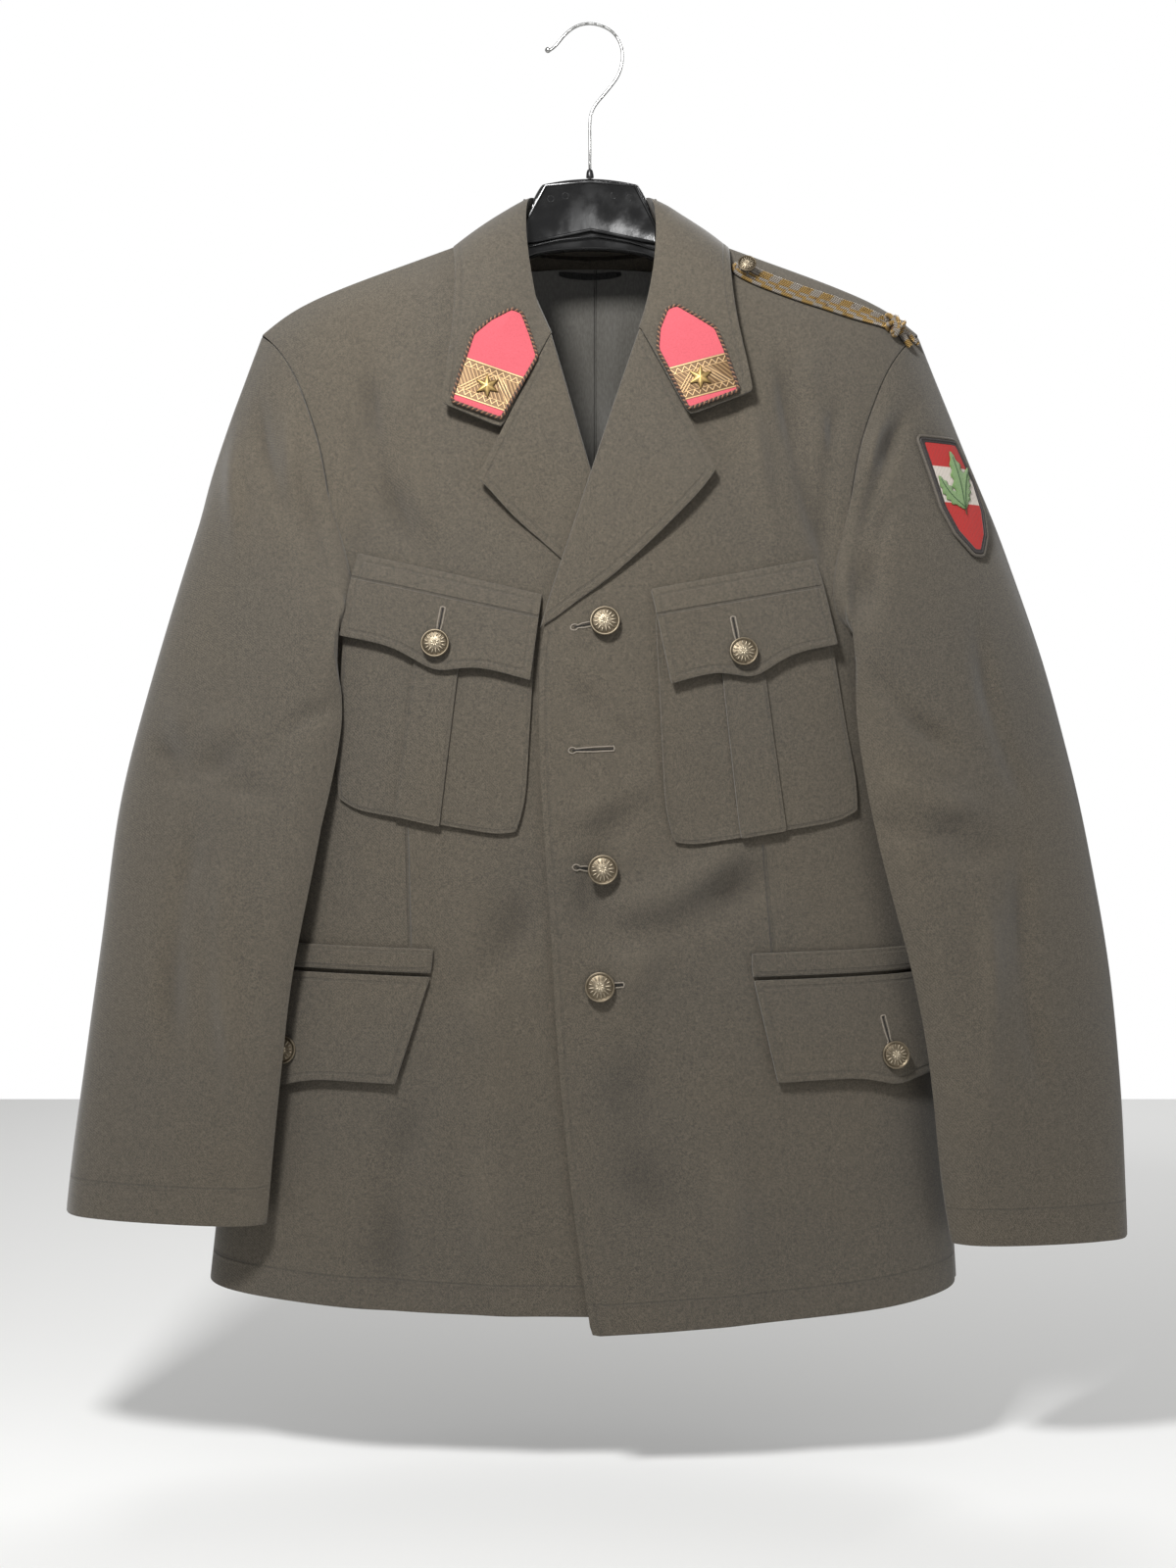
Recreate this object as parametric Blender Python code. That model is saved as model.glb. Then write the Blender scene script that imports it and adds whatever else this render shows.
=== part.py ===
"""Military jacket on a hanger: cut cloth panels, collar, sleeves, pockets, buttons and trim.

Metres, +Z up, the front faces -Y, the wearer's left is +X. The origin is the underside of the hook's crest.
Heights in the tables are measured from a datum that lies HOOK_RISE below that crest.
"""
import math

import bmesh
import bpy
import numpy as np
from mathutils import Vector
from mathutils.bvhtree import BVHTree

# Driving dimensions
HOOK_RISE = 0.0047
SEAM_GAP = 0.0004
CLOTH = 0.0018
POCKET_CLOTH = 0.0015
LINING_CLOTH = 0.0010
COLLAR_CLOTH = 0.0022
LAYER_GAP = 0.0006
POCKET_GAP = 0.0014
ARM_GAP = 0.0007
UNDER_ARM_LAP = 0.0027
TRIM_GAP = 0.0009
SIDE_SEAM_SET = 0.030
OVERLAP_LIFT = 0.0046
SHOULDER_DROP = 0.2175
ARMPIT_DROP = 0.446
NECK_DROP = 0.143
BACK_NECK_DROP = 0.153
HEM_SIDE = 0.885
HEM_BACK = 0.887
SQUARENESS = 2.3
HOOK_WIRE = 0.0012

# The body's horizontal sections: depths to the front and back of the hanger's plane
TORSO_COLUMNS = ("z", "half_width", "front", "back", "shift")
TORSO = (
    (-0.920, 0.2700, 0.076, 0.074, -0.006),
    (-0.870, 0.2680, 0.077, 0.073, -0.005),
    (-0.800, 0.2600, 0.079, 0.070, -0.004),
    (-0.720, 0.2500, 0.082, 0.067, -0.002),
    (-0.640, 0.2380, 0.085, 0.066, 0.000),
    (-0.560, 0.2310, 0.087, 0.069, 0.000),
    (-0.500, 0.2310, 0.087, 0.073, 0.000),
    (-0.440, 0.2350, 0.085, 0.076, 0.000),
    (-0.380, 0.2390, 0.080, 0.076, 0.000),
    (-0.320, 0.2400, 0.073, 0.075, 0.000),
    (-0.270, 0.2395, 0.065, 0.072, 0.000),
    (-0.235, 0.2385, 0.057, 0.068, 0.000),
    (-0.219, 0.2350, 0.053, 0.065, 0.000),
    (-0.211, 0.2270, 0.050, 0.063, 0.000),
    (-0.202, 0.2140, 0.048, 0.061, 0.000),
    (-0.194, 0.2000, 0.045, 0.059, 0.000),
    (-0.186, 0.1810, 0.042, 0.056, 0.000),
    (-0.177, 0.1580, 0.039, 0.053, 0.000),
    (-0.169, 0.1360, 0.035, 0.050, 0.000),
    (-0.160, 0.1120, 0.030, 0.046, 0.000),
    (-0.152, 0.0910, 0.023, 0.040, 0.000),
    (-0.144, 0.0725, 0.017, 0.031, 0.000),
    (-0.138, 0.0600, 0.013, 0.026, 0.000),
)

# Soft folds of the body: place along the half girth from the centre front, at the top and bottom ends
FOLD_COLUMNS = ("side", "s_top", "s_bottom", "z_top", "z_bottom", "width", "depth")
FOLDS = (
    (1, 0.110, 0.165, -0.860, -0.950, 0.040, -0.0035),
    (1, 0.205, 0.235, -0.840, -0.950, 0.034, 0.0040),
    (1, 0.050, 0.070, -0.480, -0.700, 0.034, -0.0030),
    (1, 0.190, 0.160, -0.430, -0.640, 0.030, -0.0030),
    (-1, 0.080, 0.100, -0.700, -0.900, 0.040, -0.0035),
    (-1, 0.150, 0.175, -0.800, -0.950, 0.034, 0.0040),
    (-1, 0.185, 0.160, -0.430, -0.640, 0.030, -0.0030),
    (1, 0.440, 0.450, -0.520, -0.950, 0.045, -0.0060),
    (-1, 0.430, 0.445, -0.480, -0.950, 0.045, -0.0060),
    (1, 0.500, 0.520, -0.300, -0.560, 0.040, 0.0040),
    (-1, 0.490, 0.515, -0.280, -0.560, 0.040, 0.0040),
)

# Inner edge of each front as (z, x), from the hem up the closing edge, the roll line and the neckline to the shoulder
FRONT_EDGE_LEFT = (
    (-0.912, 0.0007), (-0.880, -0.0055), (-0.843, -0.0085), (-0.790, -0.0160), (-0.710, -0.0230),
    (-0.625, -0.0270), (-0.573, -0.0310), (-0.533, -0.0340), (-0.470, -0.0350), (-0.434, -0.0330),
    (-0.228, 0.0360), (-0.206, 0.0450), (-0.186, 0.0540), (-0.164, 0.0620), (-0.143, 0.0660),
)
FRONT_EDGE_RIGHT = (
    (-0.900, -0.0300), (-0.800, -0.0330), (-0.625, -0.0350), (-0.533, -0.0350), (-0.470, -0.0350),
    (-0.437, -0.0330), (-0.232, 0.0285), (-0.206, 0.0420), (-0.186, 0.0530), (-0.164, 0.0620),
    (-0.143, 0.0660),
)
FRONT_UPPER_ROWS = (-0.434, -0.404, -0.374, -0.344, -0.314, -0.284, -0.256, -0.228, -0.206, -0.186, -0.164)
SIDE_ROWS = (0.840, 0.790, 0.730, 0.670, 0.610, 0.550, 0.495)
FRONT_SPACING = (0.0, 0.15, 0.29, 0.42, 0.54, 0.65, 0.75, 0.84, 0.92, 1.0)

# Armhole seen from the front as (half width, z), down the front and then up the back
ARMHOLE_FRONT = (
    (0.2270, -0.2230), (0.2110, -0.2400), (0.1990, -0.2680), (0.1880, -0.2980), (0.1800, -0.3380),
    (0.1760, -0.3680), (0.1710, -0.4020), (0.1760, -0.4270), (0.1980, -0.4410),
)
ARMHOLE_BACK = (
    (0.2070, -0.4390), (0.1950, -0.4170), (0.1920, -0.3800), (0.1950, -0.3300), (0.2030, -0.2850),
    (0.2140, -0.2500), (0.2270, -0.2270),
)
CREST_ROW = 0.32
ARM_FRONT = 9
ARM_UNDER = 3
ARM_BACK = 10
ARM_SEAM_FRONT = 10
ARM_SEAM_BACK = 18

# Sleeve sections: the inner (front) and outer edges at each height, with how far the cloth stands off them
SLEEVE_COLUMNS = ("z", "x_inner", "x_outer", "y_outer", "bulge_front", "bulge_back", "clearance")
SLEEVE_RIGHT = (
    (-0.500, 0.1765, 0.3260, 0.016, 0.031, 0.030, 0.0050),
    (-0.560, 0.1830, 0.3390, 0.012, 0.031, 0.030, 0.0090),
    (-0.620, 0.1930, 0.3460, 0.006, 0.030, 0.029, 0.0150),
    (-0.680, 0.2045, 0.3530, 0.000, 0.029, 0.028, 0.0180),
    (-0.740, 0.2105, 0.3600, -0.006, 0.027, 0.027, 0.0190),
    (-0.795, 0.2170, 0.3670, -0.011, 0.025, 0.025, 0.0160),
    (-0.839, 0.2220, 0.3710, -0.014, 0.023, 0.024, 0.0140),
)
SLEEVE_LEFT = (
    (-0.500, 0.1860, 0.3405, 0.016, 0.031, 0.030, 0.0050),
    (-0.560, 0.1925, 0.3540, 0.012, 0.031, 0.030, 0.0090),
    (-0.625, 0.2050, 0.3660, 0.006, 0.030, 0.029, 0.0150),
    (-0.690, 0.2210, 0.3735, 0.000, 0.029, 0.028, 0.0180),
    (-0.750, 0.2315, 0.3780, -0.006, 0.027, 0.027, 0.0190),
    (-0.808, 0.2380, 0.3797, -0.011, 0.025, 0.025, 0.0160),
    (-0.856, 0.2480, 0.3810, -0.014, 0.023, 0.024, 0.0140),
)
CAP_STEPS = (0.05, 0.13, 0.27, 0.47, 0.72)

# Collar stations from the gorge to the centre back: fold and outer edge
COLLAR_COLUMNS = ("fold_x", "fold_y", "fold_z", "edge_x", "edge_z", "edge_rise")
COLLAR_LEFT = (
    (0.0405, -0.0500, -0.2010, 0.1070, -0.2520, 0.0112),
    (0.0440, -0.0430, -0.1760, 0.1010, -0.2240, 0.0098),
    (0.0460, -0.0320, -0.1520, 0.0975, -0.1970, 0.0086),
    (0.0460, -0.0170, -0.1310, 0.0960, -0.1740, 0.0078),
)
COLLAR_RIGHT = (
    (0.0360, -0.0500, -0.2040, 0.0975, -0.2560, 0.0112),
    (0.0410, -0.0430, -0.1780, 0.0935, -0.2260, 0.0098),
    (0.0440, -0.0320, -0.1530, 0.0925, -0.1970, 0.0086),
    (0.0450, -0.0170, -0.1315, 0.0925, -0.1740, 0.0078),
)
COLLAR_BACK_COLUMNS = ("fold_x", "fold_y", "fold_z", "edge_x", "edge_y", "edge_z")
COLLAR_BACK = (
    (0.0435, 0.0000, -0.1160, 0.0990, -0.0010, -0.1500),
    (0.0370, 0.0180, -0.1140, 0.0900, 0.0370, -0.1570),
    (0.0230, 0.0310, -0.1140, 0.0550, 0.0540, -0.1670),
    (0.0000, 0.0370, -0.1145, 0.0000, 0.0620, -0.1710),
)

# Lapels: roll line from the break up to the gorge, and the free edge from the break to the tip
LAPEL_LEFT = {
    "break": (-0.0310, -0.4300), "gorge": (0.0360, -0.2285), "notch": 0.62, "flat_until": 0,
    "edge": ((-0.0225, -0.4245), (-0.0092, -0.4140), (0.0110, -0.4005), (0.0320, -0.3820),
             (0.0526, -0.3620), (0.0737, -0.3400), (0.0850, -0.3245)),
}
LAPEL_RIGHT = {
    "break": (-0.0310, -0.4330), "gorge": (0.0285, -0.2325), "notch": 0.65, "flat_until": 4,
    "edge": ((-0.0225, -0.4275), (-0.0080, -0.4110), (0.0150, -0.3885), (0.0300, -0.3745),
             (0.0510, -0.3570), (0.0647, -0.3415), (0.0755, -0.3300)),
}
COLLAR_CORNER = {"left": (0.1100, -0.2705), "right": (0.1000, -0.2790)}
LAPEL_COLUMNS = 8
ROLL_RADIUS = 0.0032
ROLL_GAP = 0.0012
GORGE_GAP = 0.0009
FLAT_ROLL = 0.00105
TIP_RISE = 0.0090

# Chest pockets, corners as (x, z) in the order top inner, top outer, bottom inner, bottom outer
CHEST_POCKETS = {
    "right": {
        "bag": ((0.0365, -0.4300), (0.1650, -0.3990), (0.0450, -0.5740), (0.1770, -0.5520)),
        "pleat": ((0.0870, -0.4450), (0.1170, -0.4400), (0.1015, -0.5660), (0.1330, -0.5590)),
        "flap": ((0.0325, -0.4090), (0.1590, -0.3790), (0.0400, -0.4675), (0.1680, -0.4360)),
        "button": (0.1030, -0.4425),
    },
    "left": {
        "bag": ((0.0440, -0.4250), (0.1570, -0.4020), (0.0520, -0.5810), (0.1880, -0.5600)),
        "pleat": ((0.0870, -0.4450), (0.1150, -0.4400), (0.1014, -0.5740), (0.1325, -0.5690)),
        "flap": ((0.0410, -0.4060), (0.1538, -0.3830), (0.0540, -0.4700), (0.1658, -0.4420)),
        "button": (0.1020, -0.4480),
    },
}
# Lower edge of the flaps as (share of the width, drop)
CHEST_FLAP_DROP = ((0.0, 0.0), (0.10, -0.0005), (0.27, -0.0010), (0.50, 0.0095), (0.73, -0.0010), (1.0, 0.0))
HIP_FLAP_DROP = ((0.0, 0.0), (0.20, -0.0010), (0.36, -0.0010), (0.50, 0.0060), (0.64, -0.0010), (1.0, 0.0))

# Hip pockets, corners as (distance round the body from the centre front, z), in the same order
HIP_POCKETS = {
    "right": {
        "welt": ((0.1060, -0.6490), (0.2900, -0.6450), (0.1075, -0.6655), (0.2910, -0.6610)),
        "flap": ((0.1080, -0.6680), (0.2920, -0.6640), (0.1300, -0.7410), (0.3020, -0.7390)),
        "button": (0.2100, -0.7200),
    },
    "left": {
        "welt": ((0.1100, -0.6520), (0.2920, -0.6480), (0.1110, -0.6680), (0.2930, -0.6640)),
        "flap": ((0.1120, -0.6705), (0.2940, -0.6665), (0.1300, -0.7400), (0.3020, -0.7380)),
        "button": (0.2130, -0.7235),
    },
}

FRONT_BUTTONS = {"top": (0.0100, -0.4275), "waist": (0.0086, -0.5945), "low": (0.0066, -0.6735)}
BUTTON_LARGE = 0.0110
BUTTON_SMALL = 0.0100
BUTTON_CAP = 0.0065
# Button turned from (share of the radius, height)
BUTTON_PROFILE = ((0.24, 0.0), (0.24, 0.0020), (0.92, 0.0022), (1.0, 0.0032), (0.94, 0.0042), (0.60, 0.0056))
BUTTON_CROWN = 0.0062

# Collar patches as seen from the front: the pointed end, shoulder, foot and side corners
COLLAR_PATCHES = {
    "left": {"point": (0.0560, -0.2065), "outer": ((0.0863, -0.2265), (0.1003, -0.2685)),
             "inner": ((0.0450, -0.2345), (0.0675, -0.2815)), "star": (0.0752, -0.2602)},
    "right": {"point": (0.0498, -0.2090), "outer": ((0.0780, -0.2260), (0.0935, -0.2760)),
              "inner": ((0.0368, -0.2440), (0.0612, -0.2880)), "star": (0.0700, -0.2660)},
}
PATCH_CLOTH = 0.0014
STAR_RADIUS = 0.0090
STAR_POINTS = 6
STAR_HEIGHT = 0.0022

# Shoulder cord: its run from the neck end to the sleeve, as (x, z) on the front slope
SHOULDER_CORD = ((0.1015, -0.1754), (0.1091, -0.1790), (0.1166, -0.1833), (0.1332, -0.1899), (0.1497, -0.1958),
                 (0.1745, -0.2033), (0.1950, -0.2094), (0.2055, -0.2125))
CORD_HALF_WIDTH = 0.0068
CORD_HALF_DEPTH = 0.0022
CORD_SIDES = 8
CORD_LIFT = 0.0003
SHOULDER_BUTTON = (0.1082, -0.1785)
KNOT = {"at": (0.2137, -0.2160), "radius": 0.0075}

# Sleeve badge seen from the front as (z, left x, right x)
BADGE = ((-0.2965, 0.2292, 0.2570), (-0.3240, 0.2385, 0.2700), (-0.3450, 0.2450, 0.2760),
         (-0.3620, 0.2545, 0.2772), (-0.3755, 0.2680, 0.2735))
BADGE_CLOTH = 0.0014

# Hanger: upper and lower profile of the moulding from the centre outwards
HANGER_COLUMNS = ("x", "z_top", "z_bottom", "half_depth")
HANGER_NECK = (
    (0.000, -0.1045, -0.1560, 0.0040), (0.018, -0.1058, -0.1565, 0.0040), (0.034, -0.1090, -0.1590, 0.0040),
    (0.0385, -0.1150, -0.1600, 0.0042), (0.0420, -0.1230, -0.1615, 0.0045), (0.0465, -0.1370, -0.1640, 0.0050),
    (0.0560, -0.1455, -0.1690, 0.0055),
)
HANGER_ARM_STATIONS = (0.072, 0.090, 0.112, 0.136, 0.160, 0.184, 0.202, 0.214)
HANGER_ARM_DEPTH = 0.0060
HANGER_ARM_HEIGHTS = (0.025, 0.013)
HANGER_SEAT_GAP = 0.0006
FERRULE_RADIUS = 0.0028
FERRULE_TOP = -0.0985
HOOK_PATH = (
    (0.0000, -0.0980), (0.0000, -0.0800), (0.0000, -0.0640), (0.0008, -0.0580), (0.0042, -0.0515),
    (0.0119, -0.0425), (0.0195, -0.0325), (0.0225, -0.0245), (0.0234, -0.0160), (0.0220, -0.0085),
    (0.0175, -0.0010), (0.0110, 0.0035), (0.0040, 0.0058), (-0.0020, 0.0062), (-0.0080, 0.0050),
    (-0.0135, 0.0020), (-0.0190, -0.0030), (-0.0225, -0.0075), (-0.0255, -0.0110), (-0.0300, -0.0138),
)

CLOTH_COLOUR = (0.150, 0.134, 0.108)


def clear_scene():
    for item in list(bpy.data.objects):
        bpy.data.objects.remove(item, do_unlink=True)


def finish(name, colour, roughness, metallic=0.0):
    material = bpy.data.materials.new(name + "_finish")
    material.use_nodes = True
    shader = material.node_tree.nodes["Principled BSDF"]
    shader.inputs["Base Color"].default_value = (*colour, 1.0)
    shader.inputs["Roughness"].default_value = roughness
    shader.inputs["Metallic"].default_value = metallic
    material.diffuse_color = (*colour, 1.0)
    return material


def add_object(name, points, faces, colour=CLOTH_COLOUR, roughness=0.9, metallic=0.0, smooth=True):
    """One closed body, moved from the tables' datum to the hook's crest."""
    mesh = bpy.data.meshes.new(name)
    mesh.from_pydata([(p[0], p[1], p[2] - HOOK_RISE) for p in points], [], faces)
    work = bmesh.new()
    work.from_mesh(mesh)
    bmesh.ops.recalc_face_normals(work, faces=work.faces)
    work.to_mesh(mesh)
    work.free()
    if smooth:
        mesh.shade_smooth()
        mesh.set_sharp_from_angle(angle=math.radians(50))
    mesh.materials.append(finish(name, colour, roughness, metallic))
    made = bpy.data.objects.new(name, mesh)
    bpy.context.scene.collection.objects.link(made)
    return made


def smooth_step(value):
    value = min(1.0, max(0.0, value))
    return value * value * (3.0 - 2.0 * value)


def mix(a, b, share):
    return a + (b - a) * share


def curve_through(points, count):
    """Evenly spaced points on a smooth curve through the given points."""
    points = np.array(points, dtype=float)
    ends = np.vstack([2 * points[0] - points[1], points, 2 * points[-1] - points[-2]])
    fine = []
    for i in range(len(points) - 1):
        p0, p1, p2, p3 = ends[i:i + 4]
        for t in np.linspace(0.0, 1.0, 24, endpoint=False):
            fine.append(0.5 * (2 * p1 + (p2 - p0) * t + (2 * p0 - 5 * p1 + 4 * p2 - p3) * t ** 2
                               + (3 * p1 - p0 - 3 * p2 + p3) * t ** 3))
    fine.append(points[-1])
    return resample(np.array(fine), np.linspace(0.0, 1.0, count))


def resample(line, shares):
    line = np.array(line, dtype=float)
    steps = np.linalg.norm(np.diff(line, axis=0), axis=1)
    along = np.concatenate([[0.0], np.cumsum(steps)])
    return np.array([[np.interp(share * along[-1], along, line[:, axis]) for axis in range(line.shape[1])]
                     for share in shares])


# The body's surface

TORSO_HEIGHTS = np.array([row[0] for row in TORSO])
TORSO_VALUES = np.array([row[1:] for row in TORSO])
TORSO_SLOPES = np.gradient(TORSO_VALUES, TORSO_HEIGHTS, axis=0)
SECTION_ANGLES = np.linspace(0.0, math.pi, 121)
section_cache = {}


def torso_row(z):
    """Half width, front depth, back depth and shift at a height, smoothly between the table's rows."""
    z = min(TORSO_HEIGHTS[-1], max(TORSO_HEIGHTS[0], z))
    i = min(len(TORSO_HEIGHTS) - 2, int(np.searchsorted(TORSO_HEIGHTS, z, side="right")) - 1)
    span = TORSO_HEIGHTS[i + 1] - TORSO_HEIGHTS[i]
    t = (z - TORSO_HEIGHTS[i]) / span
    return ((2 * t ** 3 - 3 * t ** 2 + 1) * TORSO_VALUES[i] + (t ** 3 - 2 * t ** 2 + t) * span * TORSO_SLOPES[i]
            + (3 * t ** 2 - 2 * t ** 3) * TORSO_VALUES[i + 1] + (t ** 3 - t ** 2) * span * TORSO_SLOPES[i + 1])


def section(z):
    """The half section at a height: x, y and arc length from the centre front, and the arc at the side."""
    key = round(z, 6)
    if key not in section_cache:
        half_width, front, back, shift = torso_row(z)
        sine = np.sin(SECTION_ANGLES)
        cosine = np.cos(SECTION_ANGLES)
        depth = np.where(cosine > 0, front, back)
        x = half_width * np.abs(sine) ** (2 / SQUARENESS)
        y = -depth * np.sign(cosine) * np.abs(cosine) ** (2 / SQUARENESS)
        arc = np.concatenate([[0.0], np.cumsum(np.hypot(np.diff(x), np.diff(y)))])
        section_cache[key] = (x, y, arc, arc[len(arc) // 2], shift)
    return section_cache[key]


def bare_point(side, s, z):
    x, y, arc, _, shift = section(z)
    if s < 0:
        side, s = -side, -s
    if s > arc[-1]:
        side, s = -side, 2 * arc[-1] - s
    return Vector((side * np.interp(s, arc, x) + shift, np.interp(s, arc, y), z))


def surface_normal(side, s, z):
    step = 0.006
    low, high = max(z - step, TORSO_HEIGHTS[0]), min(z + step, TORSO_HEIGHTS[-1])
    round_body = bare_point(side, s + step, z) - bare_point(side, s - step, z)
    upward = bare_point(side, s, high) - bare_point(side, s, low)
    return (round_body.cross(upward) * side).normalized()


def fold_depth(side, s, z):
    depth = 0.0
    for row in FOLDS:
        fold = dict(zip(FOLD_COLUMNS, row))
        share = (z - fold["z_top"]) / (fold["z_bottom"] - fold["z_top"])
        if fold["side"] == side and 0.0 < share < 1.0:
            centre = mix(fold["s_top"], fold["s_bottom"], share)
            across = math.exp(-((s - centre) / (0.5 * fold["width"])) ** 2)
            fade = 1.0 if fold["z_bottom"] < -0.92 else smooth_step((1.0 - share) * 3.0)
            depth += fold["depth"] * across * fade * smooth_step(share * 3.0)
    return depth


def place(side, s, z, height=0.0):
    """A point at a height above the body's surface, from the distance round it and the level."""
    return bare_point(side, s, z) + surface_normal(side, s, z) * (height + fold_depth(side, s, z))


def arc_of_x(side, x, z):
    """Distance round the body from the centre front, for x counted outwards on one side."""
    xs, _, arc, side_arc, shift = section(z)
    half = len(xs) // 2 + 1
    local = x - side * shift
    return math.copysign(float(np.interp(abs(local), xs[:half], arc[:half])), local)


def front_lift(side, x, z):
    """The left front lies on the right one along the closing edge."""
    if side < 0:
        return 0.0
    return OVERLAP_LIFT * smooth_step((0.100 - x) / 0.055) * smooth_step((-0.235 - z) / 0.06)


def on_front(side, x, z, height=0.0):
    return place(side, arc_of_x(side, x, z), z, height + front_lift(side, x, z))


# Walls

def wall_faces(rows, columns):
    """Triangles of a closed wall: outer sheet, inner sheet with the same diagonals, and four rims."""
    def outer(i, j):
        return i * columns + j

    def inner(i, j):
        return rows * columns + i * columns + j

    faces = []
    for i in range(rows - 1):
        for j in range(columns - 1):
            corners = ((i, j), (i, j + 1), (i + 1, j + 1), (i + 1, j))
            a, b, c, d = (outer(*corner) for corner in corners)
            faces += [(a, b, c), (a, c, d)]
            a, b, c, d = (inner(*corner) for corner in corners)
            faces += [(c, b, a), (d, c, a)]
    rim = [(0, j) for j in range(columns)] + [(i, columns - 1) for i in range(1, rows)]
    rim += [(rows - 1, j) for j in range(columns - 2, -1, -1)] + [(i, 0) for i in range(rows - 2, 0, -1)]
    for here, there in zip(rim, rim[1:] + rim[:1]):
        faces += [(outer(*there), outer(*here), inner(*here)), (outer(*there), inner(*here), inner(*there))]
    return faces


def add_wall(name, outer, inner, **look):
    """A cloth wall between two grids of points with equal rows and columns."""
    rows, columns = len(outer), len(outer[0])
    points = [p for row in outer for p in row] + [p for row in inner for p in row]
    return add_object(name, points, wall_faces(rows, columns), **look)


def grid_offset(grid, distance, closed=False):
    """The grid moved along its own normals, with corners kept at full thickness."""
    rows, columns = len(grid), len(grid[0])
    moved = []
    for i in range(rows):
        row = []
        for j in range(columns):
            normals = []
            for di, dj in ((1, 1), (-1, 1), (-1, -1), (1, -1)):
                ni, nj = i + di, j + dj
                if closed:
                    nj %= columns
                if 0 <= ni < rows and 0 <= nj < columns:
                    along = Vector(grid[ni][j]) - Vector(grid[i][j])
                    across = Vector(grid[i][nj]) - Vector(grid[i][j])
                    normal = across.cross(along) * di * dj
                    if normal.length > 1e-12:
                        normals.append(normal.normalized())
            mean = sum(normals, Vector()).normalized()
            agreement = min(max(mean.dot(n), 0.0) for n in normals)
            row.append(Vector(grid[i][j]) + mean * distance / max(agreement, 0.62))
        moved.append(row)
    return moved


def pull_in(flat, gap, sides):
    """A flat grid whose named borders are drawn back from the seam line."""
    flat = np.array(flat, dtype=float)
    borders = {"bottom": (np.s_[0], np.s_[1]), "top": (np.s_[-1], np.s_[-2]),
               "inner": (np.s_[:, 0], np.s_[:, 1]), "outer": (np.s_[:, -1], np.s_[:, -2])}
    for side in sides:
        edge, neighbour = borders[side]
        step = flat[neighbour] - flat[edge]
        length = np.maximum(np.linalg.norm(step, axis=-1, keepdims=True), 1e-9)
        flat[edge] += step / length * gap
    return flat


def coons(left, right, bottom, top, spacing):
    """A flat patch between four border lines, as rows from the hem up."""
    rows, columns = len(left), len(bottom)
    left, right, bottom, top = (np.array(line, dtype=float) for line in (left, right, bottom, top))
    climb = np.concatenate([[0.0], np.cumsum(np.linalg.norm(np.diff(right, axis=0), axis=1))])
    climb /= climb[-1]
    patch = np.zeros((rows, columns, 2))
    for i in range(rows):
        v = climb[i]
        for j in range(columns):
            u = spacing[j]
            patch[i, j] = ((1 - u) * left[i] + u * right[i] + (1 - v) * bottom[j] + v * top[j]
                           - (1 - u) * (1 - v) * left[0] - u * (1 - v) * right[0]
                           - (1 - u) * v * left[-1] - u * v * right[-1])
    return patch


# Pattern lines shared by the panels, as (distance round the body, z)

def side_arc(z):
    return section(z)[3]


def side_seam(level):
    """The side seam runs behind the side line below the armpit."""
    return side_arc(-level) + SIDE_SEAM_SET * smooth_step((level - ARMPIT_DROP) / 0.12)


def armhole_loop(shrink=0.0):
    """Armhole from the shoulder down the front to the armpit and up the back, round the side line."""
    def relative(x, z):
        return arc_of_x(1, x, z) - side_arc(z)

    top = (-0.006, -SHOULDER_DROP)
    front = [top] + [(relative(x, z), z) for x, z in ARMHOLE_FRONT] + [(0.0, -ARMPIT_DROP)]
    back = [(0.0, -ARMPIT_DROP)] + [(back_arc_of_x(x, z) - side_arc(z), z) for x, z in ARMHOLE_BACK] + [top]
    down = curve_through(front, ARM_FRONT + ARM_UNDER + 1)
    up = curve_through(back, ARM_BACK + 1)
    loop = np.vstack([down, up[1:-1]])
    if shrink:
        centre = loop.mean(axis=0)
        step = centre - loop
        loop = loop + step / np.linalg.norm(step, axis=1, keepdims=True) * shrink
    return [(q + side_arc(z), z) for q, z in loop]


def back_arc_of_x(x, z):
    xs, _, arc, _, _ = section(z)
    half = len(xs) // 2
    return float(np.interp(-x, -xs[half:], arc[half:]))


def shoulder_seam(count):
    """From the neck point to the armhole, just in front of the shoulder's crest."""
    line = []
    for share in np.linspace(0.0, 1.0, 60):
        z = -mix(NECK_DROP, SHOULDER_DROP, share)
        w = mix(0.90, (side_arc(-SHOULDER_DROP) - 0.006) / side_arc(-SHOULDER_DROP), share)
        line.append((w * side_arc(z), z))
    return resample(line, np.linspace(0.0, 1.0, count))


def front_panel(name, side, edge, hem_front):
    loop = armhole_loop()
    knots = np.array(edge)
    first = [hem_front] + [-mix(-hem_front, 0.470, i / 8) for i in range(1, 9)]
    heights = first + list(FRONT_UPPER_ROWS) + [-NECK_DROP]
    left = [(arc_of_x(side, np.interp(z, knots[:, 0], knots[:, 1]), z), z) for z in heights]
    right = [(side_seam(level), -level) for level in (HEM_SIDE,) + SIDE_ROWS]
    right += [loop[k] for k in range(ARM_FRONT + ARM_UNDER, -1, -1)]
    top = [tuple(point) for point in shoulder_seam(len(FRONT_SPACING))]
    left[-1] = top[0]
    columns = len(FRONT_SPACING)
    bottom = [(mix(left[0][0], right[0][0], u), mix(left[0][1], right[0][1], u) - 0.004 * math.sin(math.pi * u))
              for u in FRONT_SPACING]
    flat = coons(left, right, bottom, top, FRONT_SPACING)
    flat = pull_in(flat, SEAM_GAP / 2, ("top", "inner", "outer"))

    def sheet(height):
        return [[place(side, s, z, height + front_lift(side, s, z)) for s, z in row] for row in flat]

    return add_wall(name, sheet(0.0), sheet(-CLOTH))


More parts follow.
